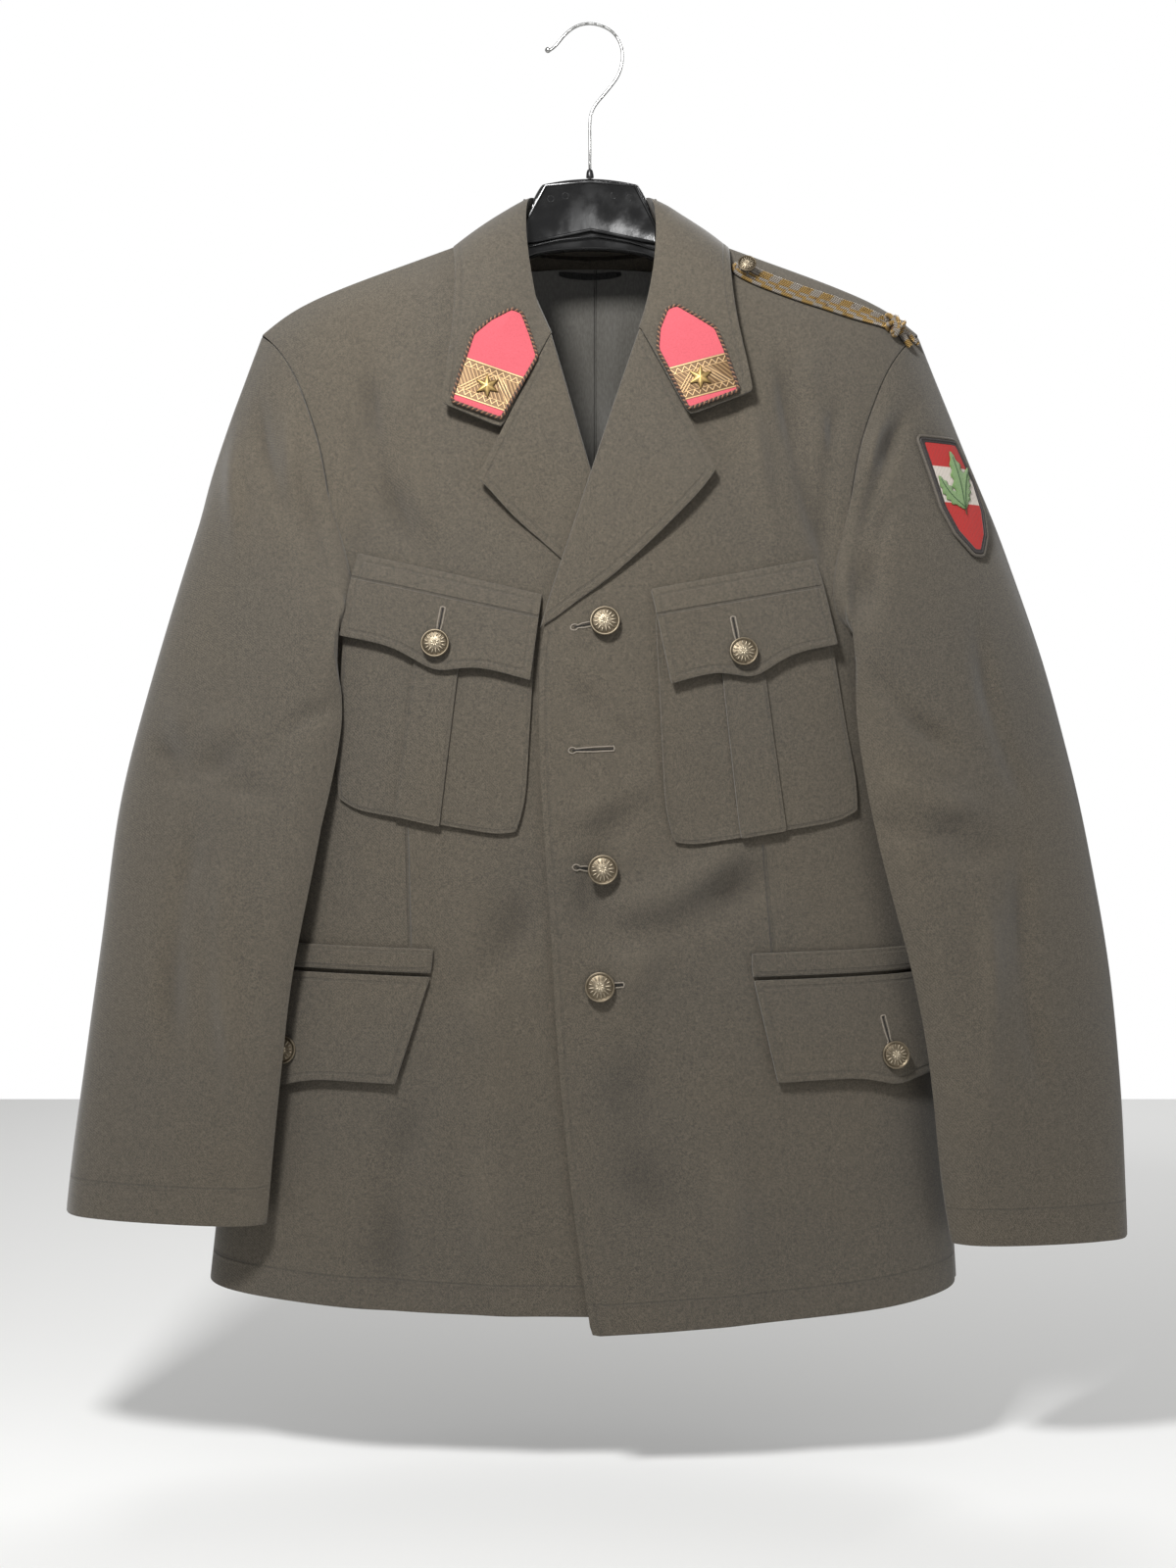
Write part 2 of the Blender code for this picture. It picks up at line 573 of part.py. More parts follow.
def back_panel(name, side):
    loop = armhole_loop()
    seam = shoulder_seam(len(FRONT_SPACING))

    def girth(z):
        return section(z)[2][-1]

    neck_point = (girth(seam[0][1]) - seam[0][0], seam[0][1])
    neckline = curve_through([(0.0, -BACK_NECK_DROP), (0.026, -BACK_NECK_DROP + 0.0005),
                              (0.052, -0.1500), neck_point], 4)
    top = [tuple(p) for p in neckline[:-1]] + [(girth(z) - s, z) for s, z in seam]
    along = np.concatenate([[0.0], np.cumsum(np.linalg.norm(np.diff(np.array(top), axis=0), axis=1))])
    spacing = along / along[-1]
    rows = len(SIDE_ROWS) + 2 + ARM_BACK
    left = [(0.0, -mix(HEM_BACK, BACK_NECK_DROP, i / (rows - 1))) for i in range(rows)]
    right = [(girth(-level) - side_seam(level), -level) for level in (HEM_SIDE,) + SIDE_ROWS]
    full = loop + loop[:1]
    right += [(girth(z) - s, z) for s, z in full[ARM_FRONT + ARM_UNDER:]]
    bottom = [(mix(left[0][0], right[0][0], u), mix(left[0][1], right[0][1], u)) for u in spacing]
    flat = coons(left, right, bottom, top, spacing)
    over_crest = mix(flat[-1], flat[-2], CREST_ROW)
    flat = np.vstack([flat[:-1], over_crest[None], flat[-1:]])
    flat = pull_in(flat, SEAM_GAP / 2, ("top", "inner", "outer"))

    def sheet(height):
        return [[place(side, girth(z) - s, z, height) for s, z in row] for row in flat]

    return add_wall(name, sheet(0.0), sheet(-CLOTH))


def back_lining():
    """Yoke lining inside the back, from the neckline down to the chest."""
    rows = []
    for i in range(8):
        z = -mix(0.1580, 0.4600, i / 7)
        reach = min(0.150, 0.72 * (section(z)[2][-1] - side_arc(z)))
        rows.append([(share * reach, z) for share in np.linspace(-1.0, 1.0, 11)])

    def sheet(extra):
        grid = []
        for i, row in enumerate(rows):
            line = []
            for s, z in row:
                slack = mix(0.0012, 0.0075, smooth_step((abs(s) - 0.02) / 0.035)) if i == 0 else (0.0070 if i == 1 else 0.0044)
                line.append(place(1 if s >= 0 else -1, section(z)[2][-1] - abs(s), z, extra - CLOTH - slack))
            grid.append(line)
        return grid

    add_wall("lining_back", sheet(0.0), sheet(-LINING_CLOTH), colour=(0.085, 0.085, 0.072), roughness=0.45)


# Sleeves

def clear_of_body(point, clearance):
    """The point moved straight out from the body's axis until it clears the body's surface."""
    half_width, front, back, shift = torso_row(point.z)
    depth = front if point.y < 0 else back
    x = abs(point.x - shift) / (half_width + clearance)
    y = abs(point.y) / (depth + clearance)
    reach = (x ** SQUARENESS + y ** SQUARENESS) ** (1 / SQUARENESS)
    if reach >= 1.0:
        return point
    return Vector(((point.x - shift) / reach + shift, point.y / reach, point.z))


def sleeve_ring(side, station):
    """One level section: front face from the outer to the inner edge, then the back face to the outer edge."""
    z = station["z"]
    inner = on_front(1, station["x_inner"], z, station["clearance"] + 0.0035)
    outer = Vector((station["x_outer"], station["y_outer"], z))
    centre = (inner + outer) / 2
    along = (outer - inner) / 2
    forward = Vector((-along.y, along.x, 0.0)).normalized()
    if forward.y > 0:
        forward = -forward
    half = 60
    line = []
    for i in range(2 * half):
        angle = math.pi * i / half
        bulge = station["bulge_front"] if i < half else station["bulge_back"]
        reach = math.copysign(abs(math.cos(angle)) ** 0.9, math.cos(angle))
        lift = math.copysign(abs(math.sin(angle)) ** 0.9, math.sin(angle))
        line.append(clear_of_body(centre + along * reach + forward * bulge * lift, station["clearance"]))
    front = resample([tuple(p) for p in line[:half + 1]], np.linspace(0.0, 1.0, ARM_FRONT + 1))
    under_share = 0.27
    shares = [under_share * i / ARM_UNDER for i in range(1, ARM_UNDER)]
    shares += [mix(under_share, 1.0, i / ARM_BACK) for i in range(ARM_BACK)]
    back = resample([tuple(p) for p in line[half:] + line[:1]], shares)
    return [Vector((side * p[0], p[1], p[2])) for p in list(front) + list(back)]


def under_arm(k):
    """How much of the k-th armhole point lies under the arm."""
    return math.exp(-((k - ARM_FRONT - 2.2) / 3.8) ** 2)


def sleeve_seam(side, loop, depth):
    """The sleeve's top edge: level with the panels over the shoulder, lapped over them under the arm."""
    return [place(side, s, z, UNDER_ARM_LAP * under_arm(k) - depth) for k, (s, z) in enumerate(loop)]


def sleeve_cap(side, loop, first, below):
    """Rings between the armhole and the first level section, rounded over the seam."""
    count = len(loop)
    start = sleeve_seam(side, loop, 0.0)
    inward = [place(side, *point) for point in armhole_loop(SEAM_GAP + 0.010)]
    rings = []
    for step in CAP_STEPS:
        ring = []
        for k in range(count):
            normal = surface_normal(side, *loop[k])
            off_panel = (inward[k] - start[k]).normalized()
            under = under_arm(k)
            top = max(math.exp(-(k / 3.0) ** 2), math.exp(-((count - k) / 3.0) ** 2))
            heading = normal * mix(0.42, 1.0, under) + off_panel * mix(0.35, 0.55, under)
            heading += Vector((0.0, 0.0, -1.0)) * mix(0.75, 0.0, under)
            heading = heading.lerp(Vector((side * 0.36, 0.0, -0.93)), top).normalized()
            span = (first[k] - start[k]).length
            leave = heading * span * mix(0.9, 0.75, under)
            arrive = (below[k] - first[k]).normalized() * span
            t = step
            point = ((2 * t ** 3 - 3 * t ** 2 + 1) * start[k] + (t ** 3 - 2 * t ** 2 + t) * leave
                     + (3 * t ** 2 - 2 * t ** 3) * first[k] + (t ** 3 - t ** 2) * arrive)
            if point.z < -0.395:
                point = clear_of_body(point, min(0.0054, 0.0030 + 0.35 * (point - start[k]).length))
            ring.append(point)
        rings.append(ring)
    return rings


def add_sleeve(name, side, table):
    loop = armhole_loop(ARM_GAP)
    stations = [dict(zip(SLEEVE_COLUMNS, row)) for row in table]
    levels = [sleeve_ring(side, station) for station in stations]
    outer = [sleeve_seam(side, loop, 0.0)] + sleeve_cap(side, loop, levels[0], levels[1]) + levels
    inner = grid_offset(outer, CLOTH * -side, closed=True)
    inner[0] = sleeve_seam(side, loop, CLOTH)
    count = len(loop)
    pieces = {"top": [k % count for k in range(ARM_SEAM_BACK, count + ARM_SEAM_FRONT + 1)],
              "under": list(range(ARM_SEAM_FRONT, ARM_SEAM_BACK + 1))}
    made = {}
    for piece, columns in pieces.items():
        sheets = []
        for grid in (outer, inner):
            sheet = [[ring[k].copy() for k in columns] for ring in grid]
            for row in sheet:
                for edge, neighbour in ((0, 1), (-1, -2)):
                    row[edge] += (row[neighbour] - row[edge]).normalized() * SEAM_GAP / 2
            sheets.append(sheet)
        made[piece] = add_wall(name + "_" + piece, *sheets)
    return made


# Collar and lapels

def offset_line(line, distance):
    """A flat open line moved sideways, with mitred corners."""
    moved = []
    for i, point in enumerate(line):
        before = line[max(i - 1, 0)]
        after = line[min(i + 1, len(line) - 1)]
        normals = []
        for a, b in ((before, point), (point, after)):
            step = np.array(b) - np.array(a)
            if np.linalg.norm(step) > 1e-9:
                step /= np.linalg.norm(step)
                normals.append(np.array((-step[1], step[0])))
        mean = sum(normals) / np.linalg.norm(sum(normals))
        moved.append(np.array(point) + mean * distance / max(0.6, float(mean.dot(normals[0]))))
    return moved


def lapel_section(roll, length, rise):
    """Centre line of the turned cloth, as (distance from the roll line, height over the front)."""
    base = -CLOTH / 2
    line = [(-ROLL_GAP, base)]
    for angle in (-50, 0, 50):
        turn = math.radians(angle)
        line.append((-ROLL_GAP - roll * math.cos(turn), base + roll + roll * math.sin(turn)))
    line.append((0.2 * roll - ROLL_GAP, base + 2 * roll))
    for share in (0.3, 0.65, 1.0):
        line.append((max(length * share, 0.5 * roll + 0.002 * share), mix(base + 2 * roll, rise, share)))
    return line


def add_lapel(name, side, plan):
    start = np.array(plan["break"])
    gorge = np.array(plan["gorge"])
    edge = resample(plan["edge"], np.linspace(0.0, 1.0, LAPEL_COLUMNS + 1))
    outer, inner = [], []
    for j in range(LAPEL_COLUMNS + 1):
        share = j / LAPEL_COLUMNS
        root = mix(start, gorge, share)
        tip = edge[j]
        open_share = smooth_step((j - plan["flat_until"]) / (LAPEL_COLUMNS - plan["flat_until"]))
        roll = mix(FLAT_ROLL, ROLL_RADIUS, open_share)
        rise = mix(-CLOTH / 2 + 2 * FLAT_ROLL, TIP_RISE, open_share ** 1.3)
        heading = (tip - root) / np.linalg.norm(tip - root)
        line = lapel_section(roll, float(np.linalg.norm(tip - root)), rise)
        base_lift = front_lift(side, float(root[0]), float(root[1]))
        for rows, distance in ((outer, CLOTH / 2), (inner, -CLOTH / 2)):
            column = []
            for e, h in offset_line(line, -distance):
                x, z = root + heading * e
                column.append(place(side, arc_of_x(side, x, z), z, h + base_lift))
            rows.append(column)
    return add_wall(name, outer, inner)


def collar_station(base, fold, fall):
    """Centre line of the collar from the neck seam over the fold and down to the free edge."""
    base, fold = Vector(base), Vector(fold)
    inside = fold + (base - fold).normalized() * min(0.0055, 0.4 * (base - fold).length)
    outside = fold + (Vector(fall[0]) - fold).normalized() * 0.0055
    middle = (inside + outside) / 4 + fold / 2
    return [base, base.lerp(inside, 0.5), inside, middle, outside] + [Vector(p) for p in fall]


def collar_half(side, table, plan, corner):
    """Stations of one half of the collar from the gorge to the centre back."""
    gorge = np.array(plan["gorge"])
    tip = np.array(plan["edge"][-1])
    notch = mix(gorge, tip, plan["notch"])
    rise = -CLOTH / 2 + 2 * ROLL_RADIUS
    heading = (tip - gorge) / np.linalg.norm(tip - gorge)
    seam_step = np.array((-heading[1], heading[0])) * GORGE_GAP

    def over_front(point, height):
        return on_front(side, float(point[0]), float(point[1]), height)

    fall = [over_front(mix(gorge, notch, 0.5) + seam_step, rise + 0.001), over_front(notch + seam_step, rise + 0.002),
            over_front(corner, 0.011)]
    first_base = over_front(gorge + seam_step - heading * 1.3 * ROLL_RADIUS, -0.0005)
    first_fold = over_front(gorge + seam_step - heading * 1.9 * ROLL_RADIUS, 0.7 * rise)
    stations = [collar_station(first_base, first_fold, fall)]
    edge = np.array(FRONT_EDGE_LEFT if side > 0 else FRONT_EDGE_RIGHT)
    neck_levels = FRONT_UPPER_ROWS[-3:] + (-0.1505,)
    for z, row in zip(neck_levels, table):
        values = dict(zip(COLLAR_COLUMNS, row))
        base = on_front(side, float(np.interp(z, edge[:, 0], edge[:, 1])) - 0.0036, z + 0.0008, -0.0005)
        fold = Vector((side * values["fold_x"], values["fold_y"], values["fold_z"]))
        end = on_front(side, values["edge_x"], values["edge_z"], values["edge_rise"])
        out = surface_normal(side, arc_of_x(side, values["edge_x"], values["edge_z"]), values["edge_z"])
        stations.append(collar_station(base, fold, [fold.lerp(end, share) + out * bulge * values["edge_rise"]
                                                    for share, bulge in ((0.38, 0.45), (0.70, 0.35), (1.0, 0.0))]))
    seam = shoulder_seam(2)[0]
    girth = section(seam[1])[2][-1]
    bases = [place(side, seam[0], seam[1], -0.0005) + Vector((-side * 0.0016, 0.0, 0.0018))]
    neckline = curve_through([(girth - seam[0], seam[1]), (0.052, -0.1500), (0.026, -BACK_NECK_DROP + 0.0005),
                              (0.0, -BACK_NECK_DROP)], 4)
    for s, z in neckline[1:]:
        z += 0.0020
        bases.append(place(side, section(z)[2][-1] - s, z, -0.0005))
    for base, row in zip(bases, COLLAR_BACK):
        values = dict(zip(COLLAR_BACK_COLUMNS, row))
        fold = Vector((side * values["fold_x"], values["fold_y"], values["fold_z"]))
        end = Vector((side * values["edge_x"], values["edge_y"], values["edge_z"]))
        out = Vector((end.x, end.y * 2, 0.02)).normalized() * 0.002
        stations.append(collar_station(base, fold, [fold.lerp(end, 0.38) + out, fold.lerp(end, 0.70) + out, end]))
    return stations


def add_collar():
    left = collar_half(1, COLLAR_LEFT, LAPEL_LEFT, COLLAR_CORNER["left"])
    right = collar_half(-1, COLLAR_RIGHT, LAPEL_RIGHT, COLLAR_CORNER["right"])
    stations = left + right[-2::-1]
    return add_wall("collar", grid_offset(stations, COLLAR_CLOTH / 2), grid_offset(stations, -COLLAR_CLOTH / 2))


# Pieces that lie on the fronts

def between(corners, across, down):
    top_inner, top_outer, bottom_inner, bottom_outer = (np.array(corner) for corner in corners)
    return mix(mix(top_inner, top_outer, across), mix(bottom_inner, bottom_outer, across), down)


def add_layer(name, side, corners, columns, rows, heights, thickness, drop=None, by_arc=False, trim=0.0):
    """A flat piece on a front: heights gives its underside at shares of the way down."""
    shares, levels = zip(*heights)
    drops = np.array(drop) if drop else None
    sheets = []
    for extra in (thickness, 0.0):
        grid = []
        for i in range(rows + 1):
            down = i / rows
            line = []
            for j in range(columns + 1):
                across = j / columns
                x, z = between(corners, across, down)
                if drop:
                    z -= down * float(np.interp(across, drops[:, 0], drops[:, 1]))
                if trim and i == rows and j in (0, columns):
                    x += (0.6 if j == 0 else -0.6) * trim
                    z += 0.6 * trim
                height = float(np.interp(down, shares, levels)) + extra
                if by_arc:
                    line.append(place(side, x, z, height))
                else:
                    line.append(on_front(side, x, z, height))
            grid.append(line)
        sheets.append(grid)
    return add_wall(name, *sheets)


def turned(name, base, axis, radius, profile, crown, sides=12, **look):
    """A round piece turned about an axis, from its foot to its crown."""
    axis = axis.normalized()
    across = axis.orthogonal().normalized()
    other = axis.cross(across)
    points = []
    for share, height in profile:
        for i in range(sides):
            angle = 2 * math.pi * i / sides
            points.append(base + axis * height
                          + (across * math.cos(angle) + other * math.sin(angle)) * radius * share)
    points += [base, base + axis * crown]
    faces = []
    for ring in range(len(profile) - 1):
        for i in range(sides):
            a, b = ring * sides + i, ring * sides + (i + 1) % sides
            faces.append((a, b, b + sides, a + sides))
    last = (len(profile) - 1) * sides
    for i in range(sides):
        faces.append(((i + 1) % sides, i, len(points) - 2))
        faces.append((last + i, last + (i + 1) % sides, len(points) - 1))
    return add_object(name, points, faces, **look)


def add_button(name, side, s, z, height, radius):
    turned(name, place(side, s, z, height), surface_normal(side, s, z), radius, BUTTON_PROFILE, BUTTON_CROWN,
           colour=(0.42, 0.35, 0.27), roughness=0.35, metallic=1.0)


def add_chest_pocket(word, side, plan):
    add_layer("pocket_chest_" + word, side, plan["bag"], 8, 6, ((0.0, POCKET_GAP), (1.0, POCKET_GAP)),
              POCKET_CLOTH, trim=0.008)
    lie = POCKET_GAP + POCKET_CLOTH + LAYER_GAP
    add_layer("pleat_chest_" + word, side, plan["pleat"], 2, 6, ((0.0, lie), (1.0, lie)), POCKET_CLOTH)
    over = lie + POCKET_CLOTH + LAYER_GAP
    add_layer("flap_chest_" + word, side, plan["flap"], 10, 4,
              ((0.0, TRIM_GAP), (0.25, over - 0.0005), (0.5, over), (1.0, over + 0.0022)), CLOTH, drop=CHEST_FLAP_DROP)
    x, z = plan["button"]
    add_button("button_chest_" + word, side, arc_of_x(side, x, z), z,
               over + 0.0010 + CLOTH + front_lift(side, x, z) + LAYER_GAP, BUTTON_SMALL)


def add_hip_pocket(word, side, plan):
    add_layer("welt_hip_" + word, side, plan["welt"], 13, 1, ((0.0, TRIM_GAP), (1.0, TRIM_GAP)), CLOTH, by_arc=True)
    add_layer("flap_hip_" + word, side, plan["flap"], 12, 4, ((0.0, TRIM_GAP), (0.3, 0.0020), (1.0, 0.0038)),
              CLOTH, drop=HIP_FLAP_DROP, by_arc=True)
    s, z = plan["button"]
    add_button("button_hip_" + word, side, s, z, 0.0031 + CLOTH + LAYER_GAP, BUTTON_SMALL)


# Trim laid on the collar and sleeve

def tree_of(made):
    mesh = made.data
    return BVHTree.FromPolygons([v.co for v in mesh.vertices], [tuple(p.vertices) for p in mesh.polygons])


def drop_on(tree, x, z, height):
    """A point over the first surface met from the front, at a height above it, and that surface's normal."""
    hit, normal, _, _ = tree.ray_cast(Vector((x, -0.4, z - HOOK_RISE)), Vector((0.0, 1.0, 0.0)))
    if normal.y > 0:
        normal = -normal
    return hit + Vector((0.0, 0.0, HOOK_RISE)) + normal * height, normal


def shared_sheet(tree, flat, low, thickness):
    """Two grids over a surface, with normals averaged over the piece so that its faces stay fair."""
    sheets = []
    hits = [[drop_on(tree, x, z, 0.0) for x, z in row] for row in flat]
    mean = sum((normal for row in hits for _, normal in row), Vector()).normalized()
    for height in (low + thickness, low):
        sheets.append([[point + (normal + mean).normalized() * height for point, normal in row] for row in hits])
    return sheets


def add_collar_patch(word, side, plan, tree):
    outer = [plan["point"]] + list(plan["outer"])
    inner = [plan["point"]] + list(plan["inner"])
    rows = 6
    left = resample(outer, np.linspace(0.06, 1.0, rows))
    right = resample(inner, np.linspace(0.06, 1.0, rows))
    flat = [[(side * mix(a, b, share)[0], mix(a, b, share)[1]) for share in np.linspace(0.0, 1.0, 4)]
            for a, b in zip(left, right)]
    outer_sheet, inner_sheet = shared_sheet(tree, flat, TRIM_GAP, PATCH_CLOTH)
    patch = add_wall("collar_patch_" + word, outer_sheet, inner_sheet, colour=(0.80, 0.18, 0.22), roughness=0.8)
    base, normal = drop_on(tree_of(patch), side * plan["star"][0], plan["star"][1], 0.0004)
    across = normal.cross(Vector((0.0, 0.0, 1.0))).normalized()
    up = across.cross(normal).normalized()
    ring = []
    for i in range(2 * STAR_POINTS):
        radius = STAR_RADIUS if i % 2 == 0 else 0.45 * STAR_RADIUS
        angle = math.pi * i / STAR_POINTS + math.pi / 2
        ring.append(across * math.cos(angle) * radius + up * math.sin(angle) * radius)
    count = len(ring)
    points = [base + p for p in ring] + [base + p + normal * 0.0006 for p in ring]
    points += [base, base + normal * STAR_HEIGHT]
    faces = []
    for i in range(count):
        j = (i + 1) % count
        faces += [(i, j, count + j, count + i), (j, i, 2 * count), (count + i, count + j, 2 * count + 1)]
    add_object("collar_star_" + word, points, faces, colour=(0.60, 0.42, 0.17), roughness=0.35, metallic=1.0,
               smooth=False)


def add_badge(tree):
    flat = [[(mix(left, right, share), z) for share in np.linspace(0.0, 1.0, 6)] for z, left, right in BADGE]
    outer, inner = shared_sheet(tree, flat, TRIM_GAP, BADGE_CLOTH)
    add_wall("sleeve_badge", outer, inner, colour=(0.65, 0.05, 0.04), roughness=0.75)


def oval_tube(name, centres, normals, half_width, half_depth, sides, **look):
    """A soft flat cord: oval sections across its run, with closed ends."""
    points, faces = [], []
    for i, centre in enumerate(centres):
        run = (centres[min(i + 1, len(centres) - 1)] - centres[max(i - 1, 0)]).normalized()
        across = run.cross(normals[i]).normalized()
        taper = 0.55 if i in (0, len(centres) - 1) else 1.0
        for k in range(sides):
            angle = 2 * math.pi * (k + 0.5) / sides
            points.append(centre + across * math.cos(angle) * half_width * taper
                          + normals[i] * math.sin(angle) * half_depth)
    for i in range(len(centres) - 1):
        for k in range(sides):
            a, b = i * sides + k, i * sides + (k + 1) % sides
            faces.append((a, b, b + sides, a + sides))
    faces.append(tuple(range(sides - 1, -1, -1)))
    faces.append(tuple(range(len(points) - sides, len(points))))
    return add_object(name, points, faces, **look)


def add_shoulder_cord():
    look = {"colour": (0.36, 0.24, 0.12), "roughness": 0.6, "metallic": 0.3}
    route = curve_through(SHOULDER_CORD, 12)
    centres, normals = [], []
    for x, z in route:
        s = arc_of_x(1, float(x), float(z))
        centres.append(place(1, s, z, CORD_HALF_DEPTH + CORD_LIFT))
        normals.append(surface_normal(1, s, z))
    oval_tube("shoulder_cord", centres, normals, CORD_HALF_WIDTH, CORD_HALF_DEPTH, CORD_SIDES, **look)
    s = arc_of_x(1, *SHOULDER_BUTTON)
    add_button("button_shoulder", 1, s, SHOULDER_BUTTON[1], 2 * CORD_HALF_DEPTH + CORD_LIFT + LAYER_GAP, BUTTON_CAP)
    x, z = KNOT["at"]
    s = arc_of_x(1, x, z)
    normal = surface_normal(1, s, z)
    radius = KNOT["radius"]
    profile = [(0.35, 0.0), (0.85, 0.0018), (1.0, 0.0045), (0.85, 0.0072), (0.4, 0.0088)]
    turned("shoulder_knot", place(1, s, z, -0.0008), normal, radius, profile, 0.0092, sides=10, **look)


# Hanger

def add_hanger():
    black = {"colour": (0.012, 0.012, 0.013), "roughness": 0.25}
    half = [dict(zip(HANGER_COLUMNS, row)) for row in HANGER_NECK]
    crest = [(row[1], row[0]) for row in TORSO if row[0] >= -0.219]
    crest.sort()
    widths, heights = zip(*crest)
    for i, x in enumerate(HANGER_ARM_STATIONS):
        z = float(np.interp(x + 0.0006, widths, heights))
        share = i / (len(HANGER_ARM_STATIONS) - 1)
        top = z - (CLOTH + HANGER_SEAT_GAP) * 1.12 - (0.0024 if x < 0.1 else 0.0010)
        height = mix(*HANGER_ARM_HEIGHTS, share)
        half.append({"x": x, "z_top": top, "z_bottom": top - height, "half_depth": HANGER_ARM_DEPTH})
    rows = [dict(row, x=-row["x"]) for row in half[:0:-1]] + half
    points, faces = [], []
    bevel = 0.0016
    crown = 0.0034
    for row in rows:
        d, top, low = row["half_depth"], row["z_top"], row["z_bottom"]
        ring = ((-d, low + bevel), (-d, top - crown), (-d + crown, top), (d - crown, top),
                (d, top - crown), (d, low + bevel), (d - bevel, low), (-d + bevel, low))
        points += [Vector((row["x"], y, z)) for y, z in ring]
    for i in range(len(rows) - 1):
        for k in range(8):
            a, b = 8 * i + k, 8 * i + (k + 1) % 8
            faces.append((a, b, b + 8, a + 8))
    faces.append(tuple(range(7, -1, -1)))
    faces.append(tuple(range(len(points) - 8, len(points))))
    add_object("hanger_body", points, faces, **black)
    foot = HANGER_NECK[0][1] + 0.0003
    profile = [(1.0, 0.0), (1.0, 0.6 * (FERRULE_TOP - foot)), (0.7, FERRULE_TOP - foot)]
    turned("hanger_ferrule", Vector((0.0, 0.0, foot)), Vector((0.0, 0.0, 1.0)), FERRULE_RADIUS, profile,
           FERRULE_TOP - foot, sides=12, **black)
    route = curve_through([(x, z) for x, z in HOOK_PATH], 34)
    curve = bpy.data.curves.new("hanger_hook", "CURVE")
    curve.dimensions = "3D"
    curve.bevel_depth = HOOK_WIRE
    curve.bevel_resolution = 2
    curve.use_fill_caps = True
    curve.render_resolution_u = 0
    spline = curve.splines.new("POLY")
    spline.points.add(len(route) - 1)
    for point, (x, z) in zip(spline.points, route):
        point.co = (x, 0.0, z - HOOK_RISE, 1.0)
    curve.materials.append(finish("hanger_hook", (0.62, 0.62, 0.60), 0.25, 1.0))
    hook = bpy.data.objects.new("hanger_hook", curve)
    bpy.context.scene.collection.objects.link(hook)


def add_hang_loop():
    """Short tape at the back of the neck, under the collar stand."""
    normals, centres = [], []
    for share in np.linspace(-1.0, 1.0, 9):
        x = 0.023 * share
        z = -0.1600 - 0.0020 * (1 - share ** 2)
        side = 1 if share >= 0 else -1
        s = section(z)[2][-1] - abs(x)
        centres.append(place(side, s, z, -CLOTH - 2 * LAYER_GAP - LINING_CLOTH - 0.0031))
        normals.append(-surface_normal(side, s, z))
    oval_tube("hang_loop", centres, normals, 0.0028, 0.0012, 6, colour=(0.03, 0.03, 0.03), roughness=0.6)


def main():
    clear_scene()
    front_panel("front_left", 1, FRONT_EDGE_LEFT, FRONT_EDGE_LEFT[0][0])
    front_panel("front_right", -1, FRONT_EDGE_RIGHT, FRONT_EDGE_RIGHT[0][0])
    back_panel("back_left", 1)
    back_panel("back_right", -1)
    back_lining()
    sleeve_left = add_sleeve("sleeve_left", 1, SLEEVE_LEFT)
    add_sleeve("sleeve_right", -1, SLEEVE_RIGHT)
    collar = add_collar()
    add_lapel("lapel_left", 1, LAPEL_LEFT)
    add_lapel("lapel_right", -1, LAPEL_RIGHT)
    for word, side in (("left", 1), ("right", -1)):
        add_chest_pocket(word, side, CHEST_POCKETS[word])
        add_hip_pocket(word, side, HIP_POCKETS[word])
        add_collar_patch(word, side, COLLAR_PATCHES[word], tree_of(collar))
    for word, (x, z) in FRONT_BUTTONS.items():
        add_button("button_front_" + word, 1, arc_of_x(1, x, z), z, front_lift(1, x, z) + LAYER_GAP, BUTTON_LARGE)
    add_shoulder_cord()
    add_badge(tree_of(sleeve_left["top"]))
    add_hang_loop()
    add_hanger()


main()
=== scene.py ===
from math import cos, exp, hypot, pi, radians, sin
import bpy
import bmesh
from mathutils import Matrix, Vector
from mathutils.bvhtree import BVHTree
from mathutils.kdtree import KDTree


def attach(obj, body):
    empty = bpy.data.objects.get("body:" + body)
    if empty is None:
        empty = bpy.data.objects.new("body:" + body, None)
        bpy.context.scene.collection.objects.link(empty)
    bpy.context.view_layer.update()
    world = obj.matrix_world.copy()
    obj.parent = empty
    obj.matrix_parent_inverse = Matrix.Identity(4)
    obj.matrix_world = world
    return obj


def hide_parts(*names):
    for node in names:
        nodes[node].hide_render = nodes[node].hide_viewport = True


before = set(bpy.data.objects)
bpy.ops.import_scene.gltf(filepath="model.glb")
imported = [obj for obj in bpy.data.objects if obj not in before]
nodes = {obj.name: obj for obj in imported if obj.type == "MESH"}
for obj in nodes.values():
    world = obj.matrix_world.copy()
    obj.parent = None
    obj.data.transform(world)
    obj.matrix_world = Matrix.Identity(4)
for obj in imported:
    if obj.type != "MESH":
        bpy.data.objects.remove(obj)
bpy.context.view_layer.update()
scene = bpy.context.scene
print("jacket: frame loaded,", len(nodes), "nodes")

# the front view: metres for each of its steps, its middle, the eye's distance and the middle's height
sight = {"scale": 0.0007, "middle": (602, 800), "eye": 1.6, "level": -0.537, "lift": 0.0047}


def seen(px, py, depth=-0.05):
    # (x, z) in the garment of a spot measured on the front view
    grow = sight["scale"] * (sight["eye"] + depth) / sight["eye"]
    across, down = px - sight["middle"][0], py - sight["middle"][1]
    return across * grow, sight["level"] - down * grow - sight["lift"]


def heading(first, last):
    # length and direction from one place on the front view to another
    (x0, z0), (x1, z1) = first, last
    long = hypot(x1 - x0, z1 - z0)
    return long, (x1 - x0) / long, (z1 - z0) / long


def track(first, last):
    # the length between two places, and a way to find (x, z) at a along the run and b to its side
    x0, z0 = first
    long, ux, uz = heading(first, last)
    return long, lambda a, b=0.0: (x0 + ux * a - uz * b, z0 + uz * a + ux * b)


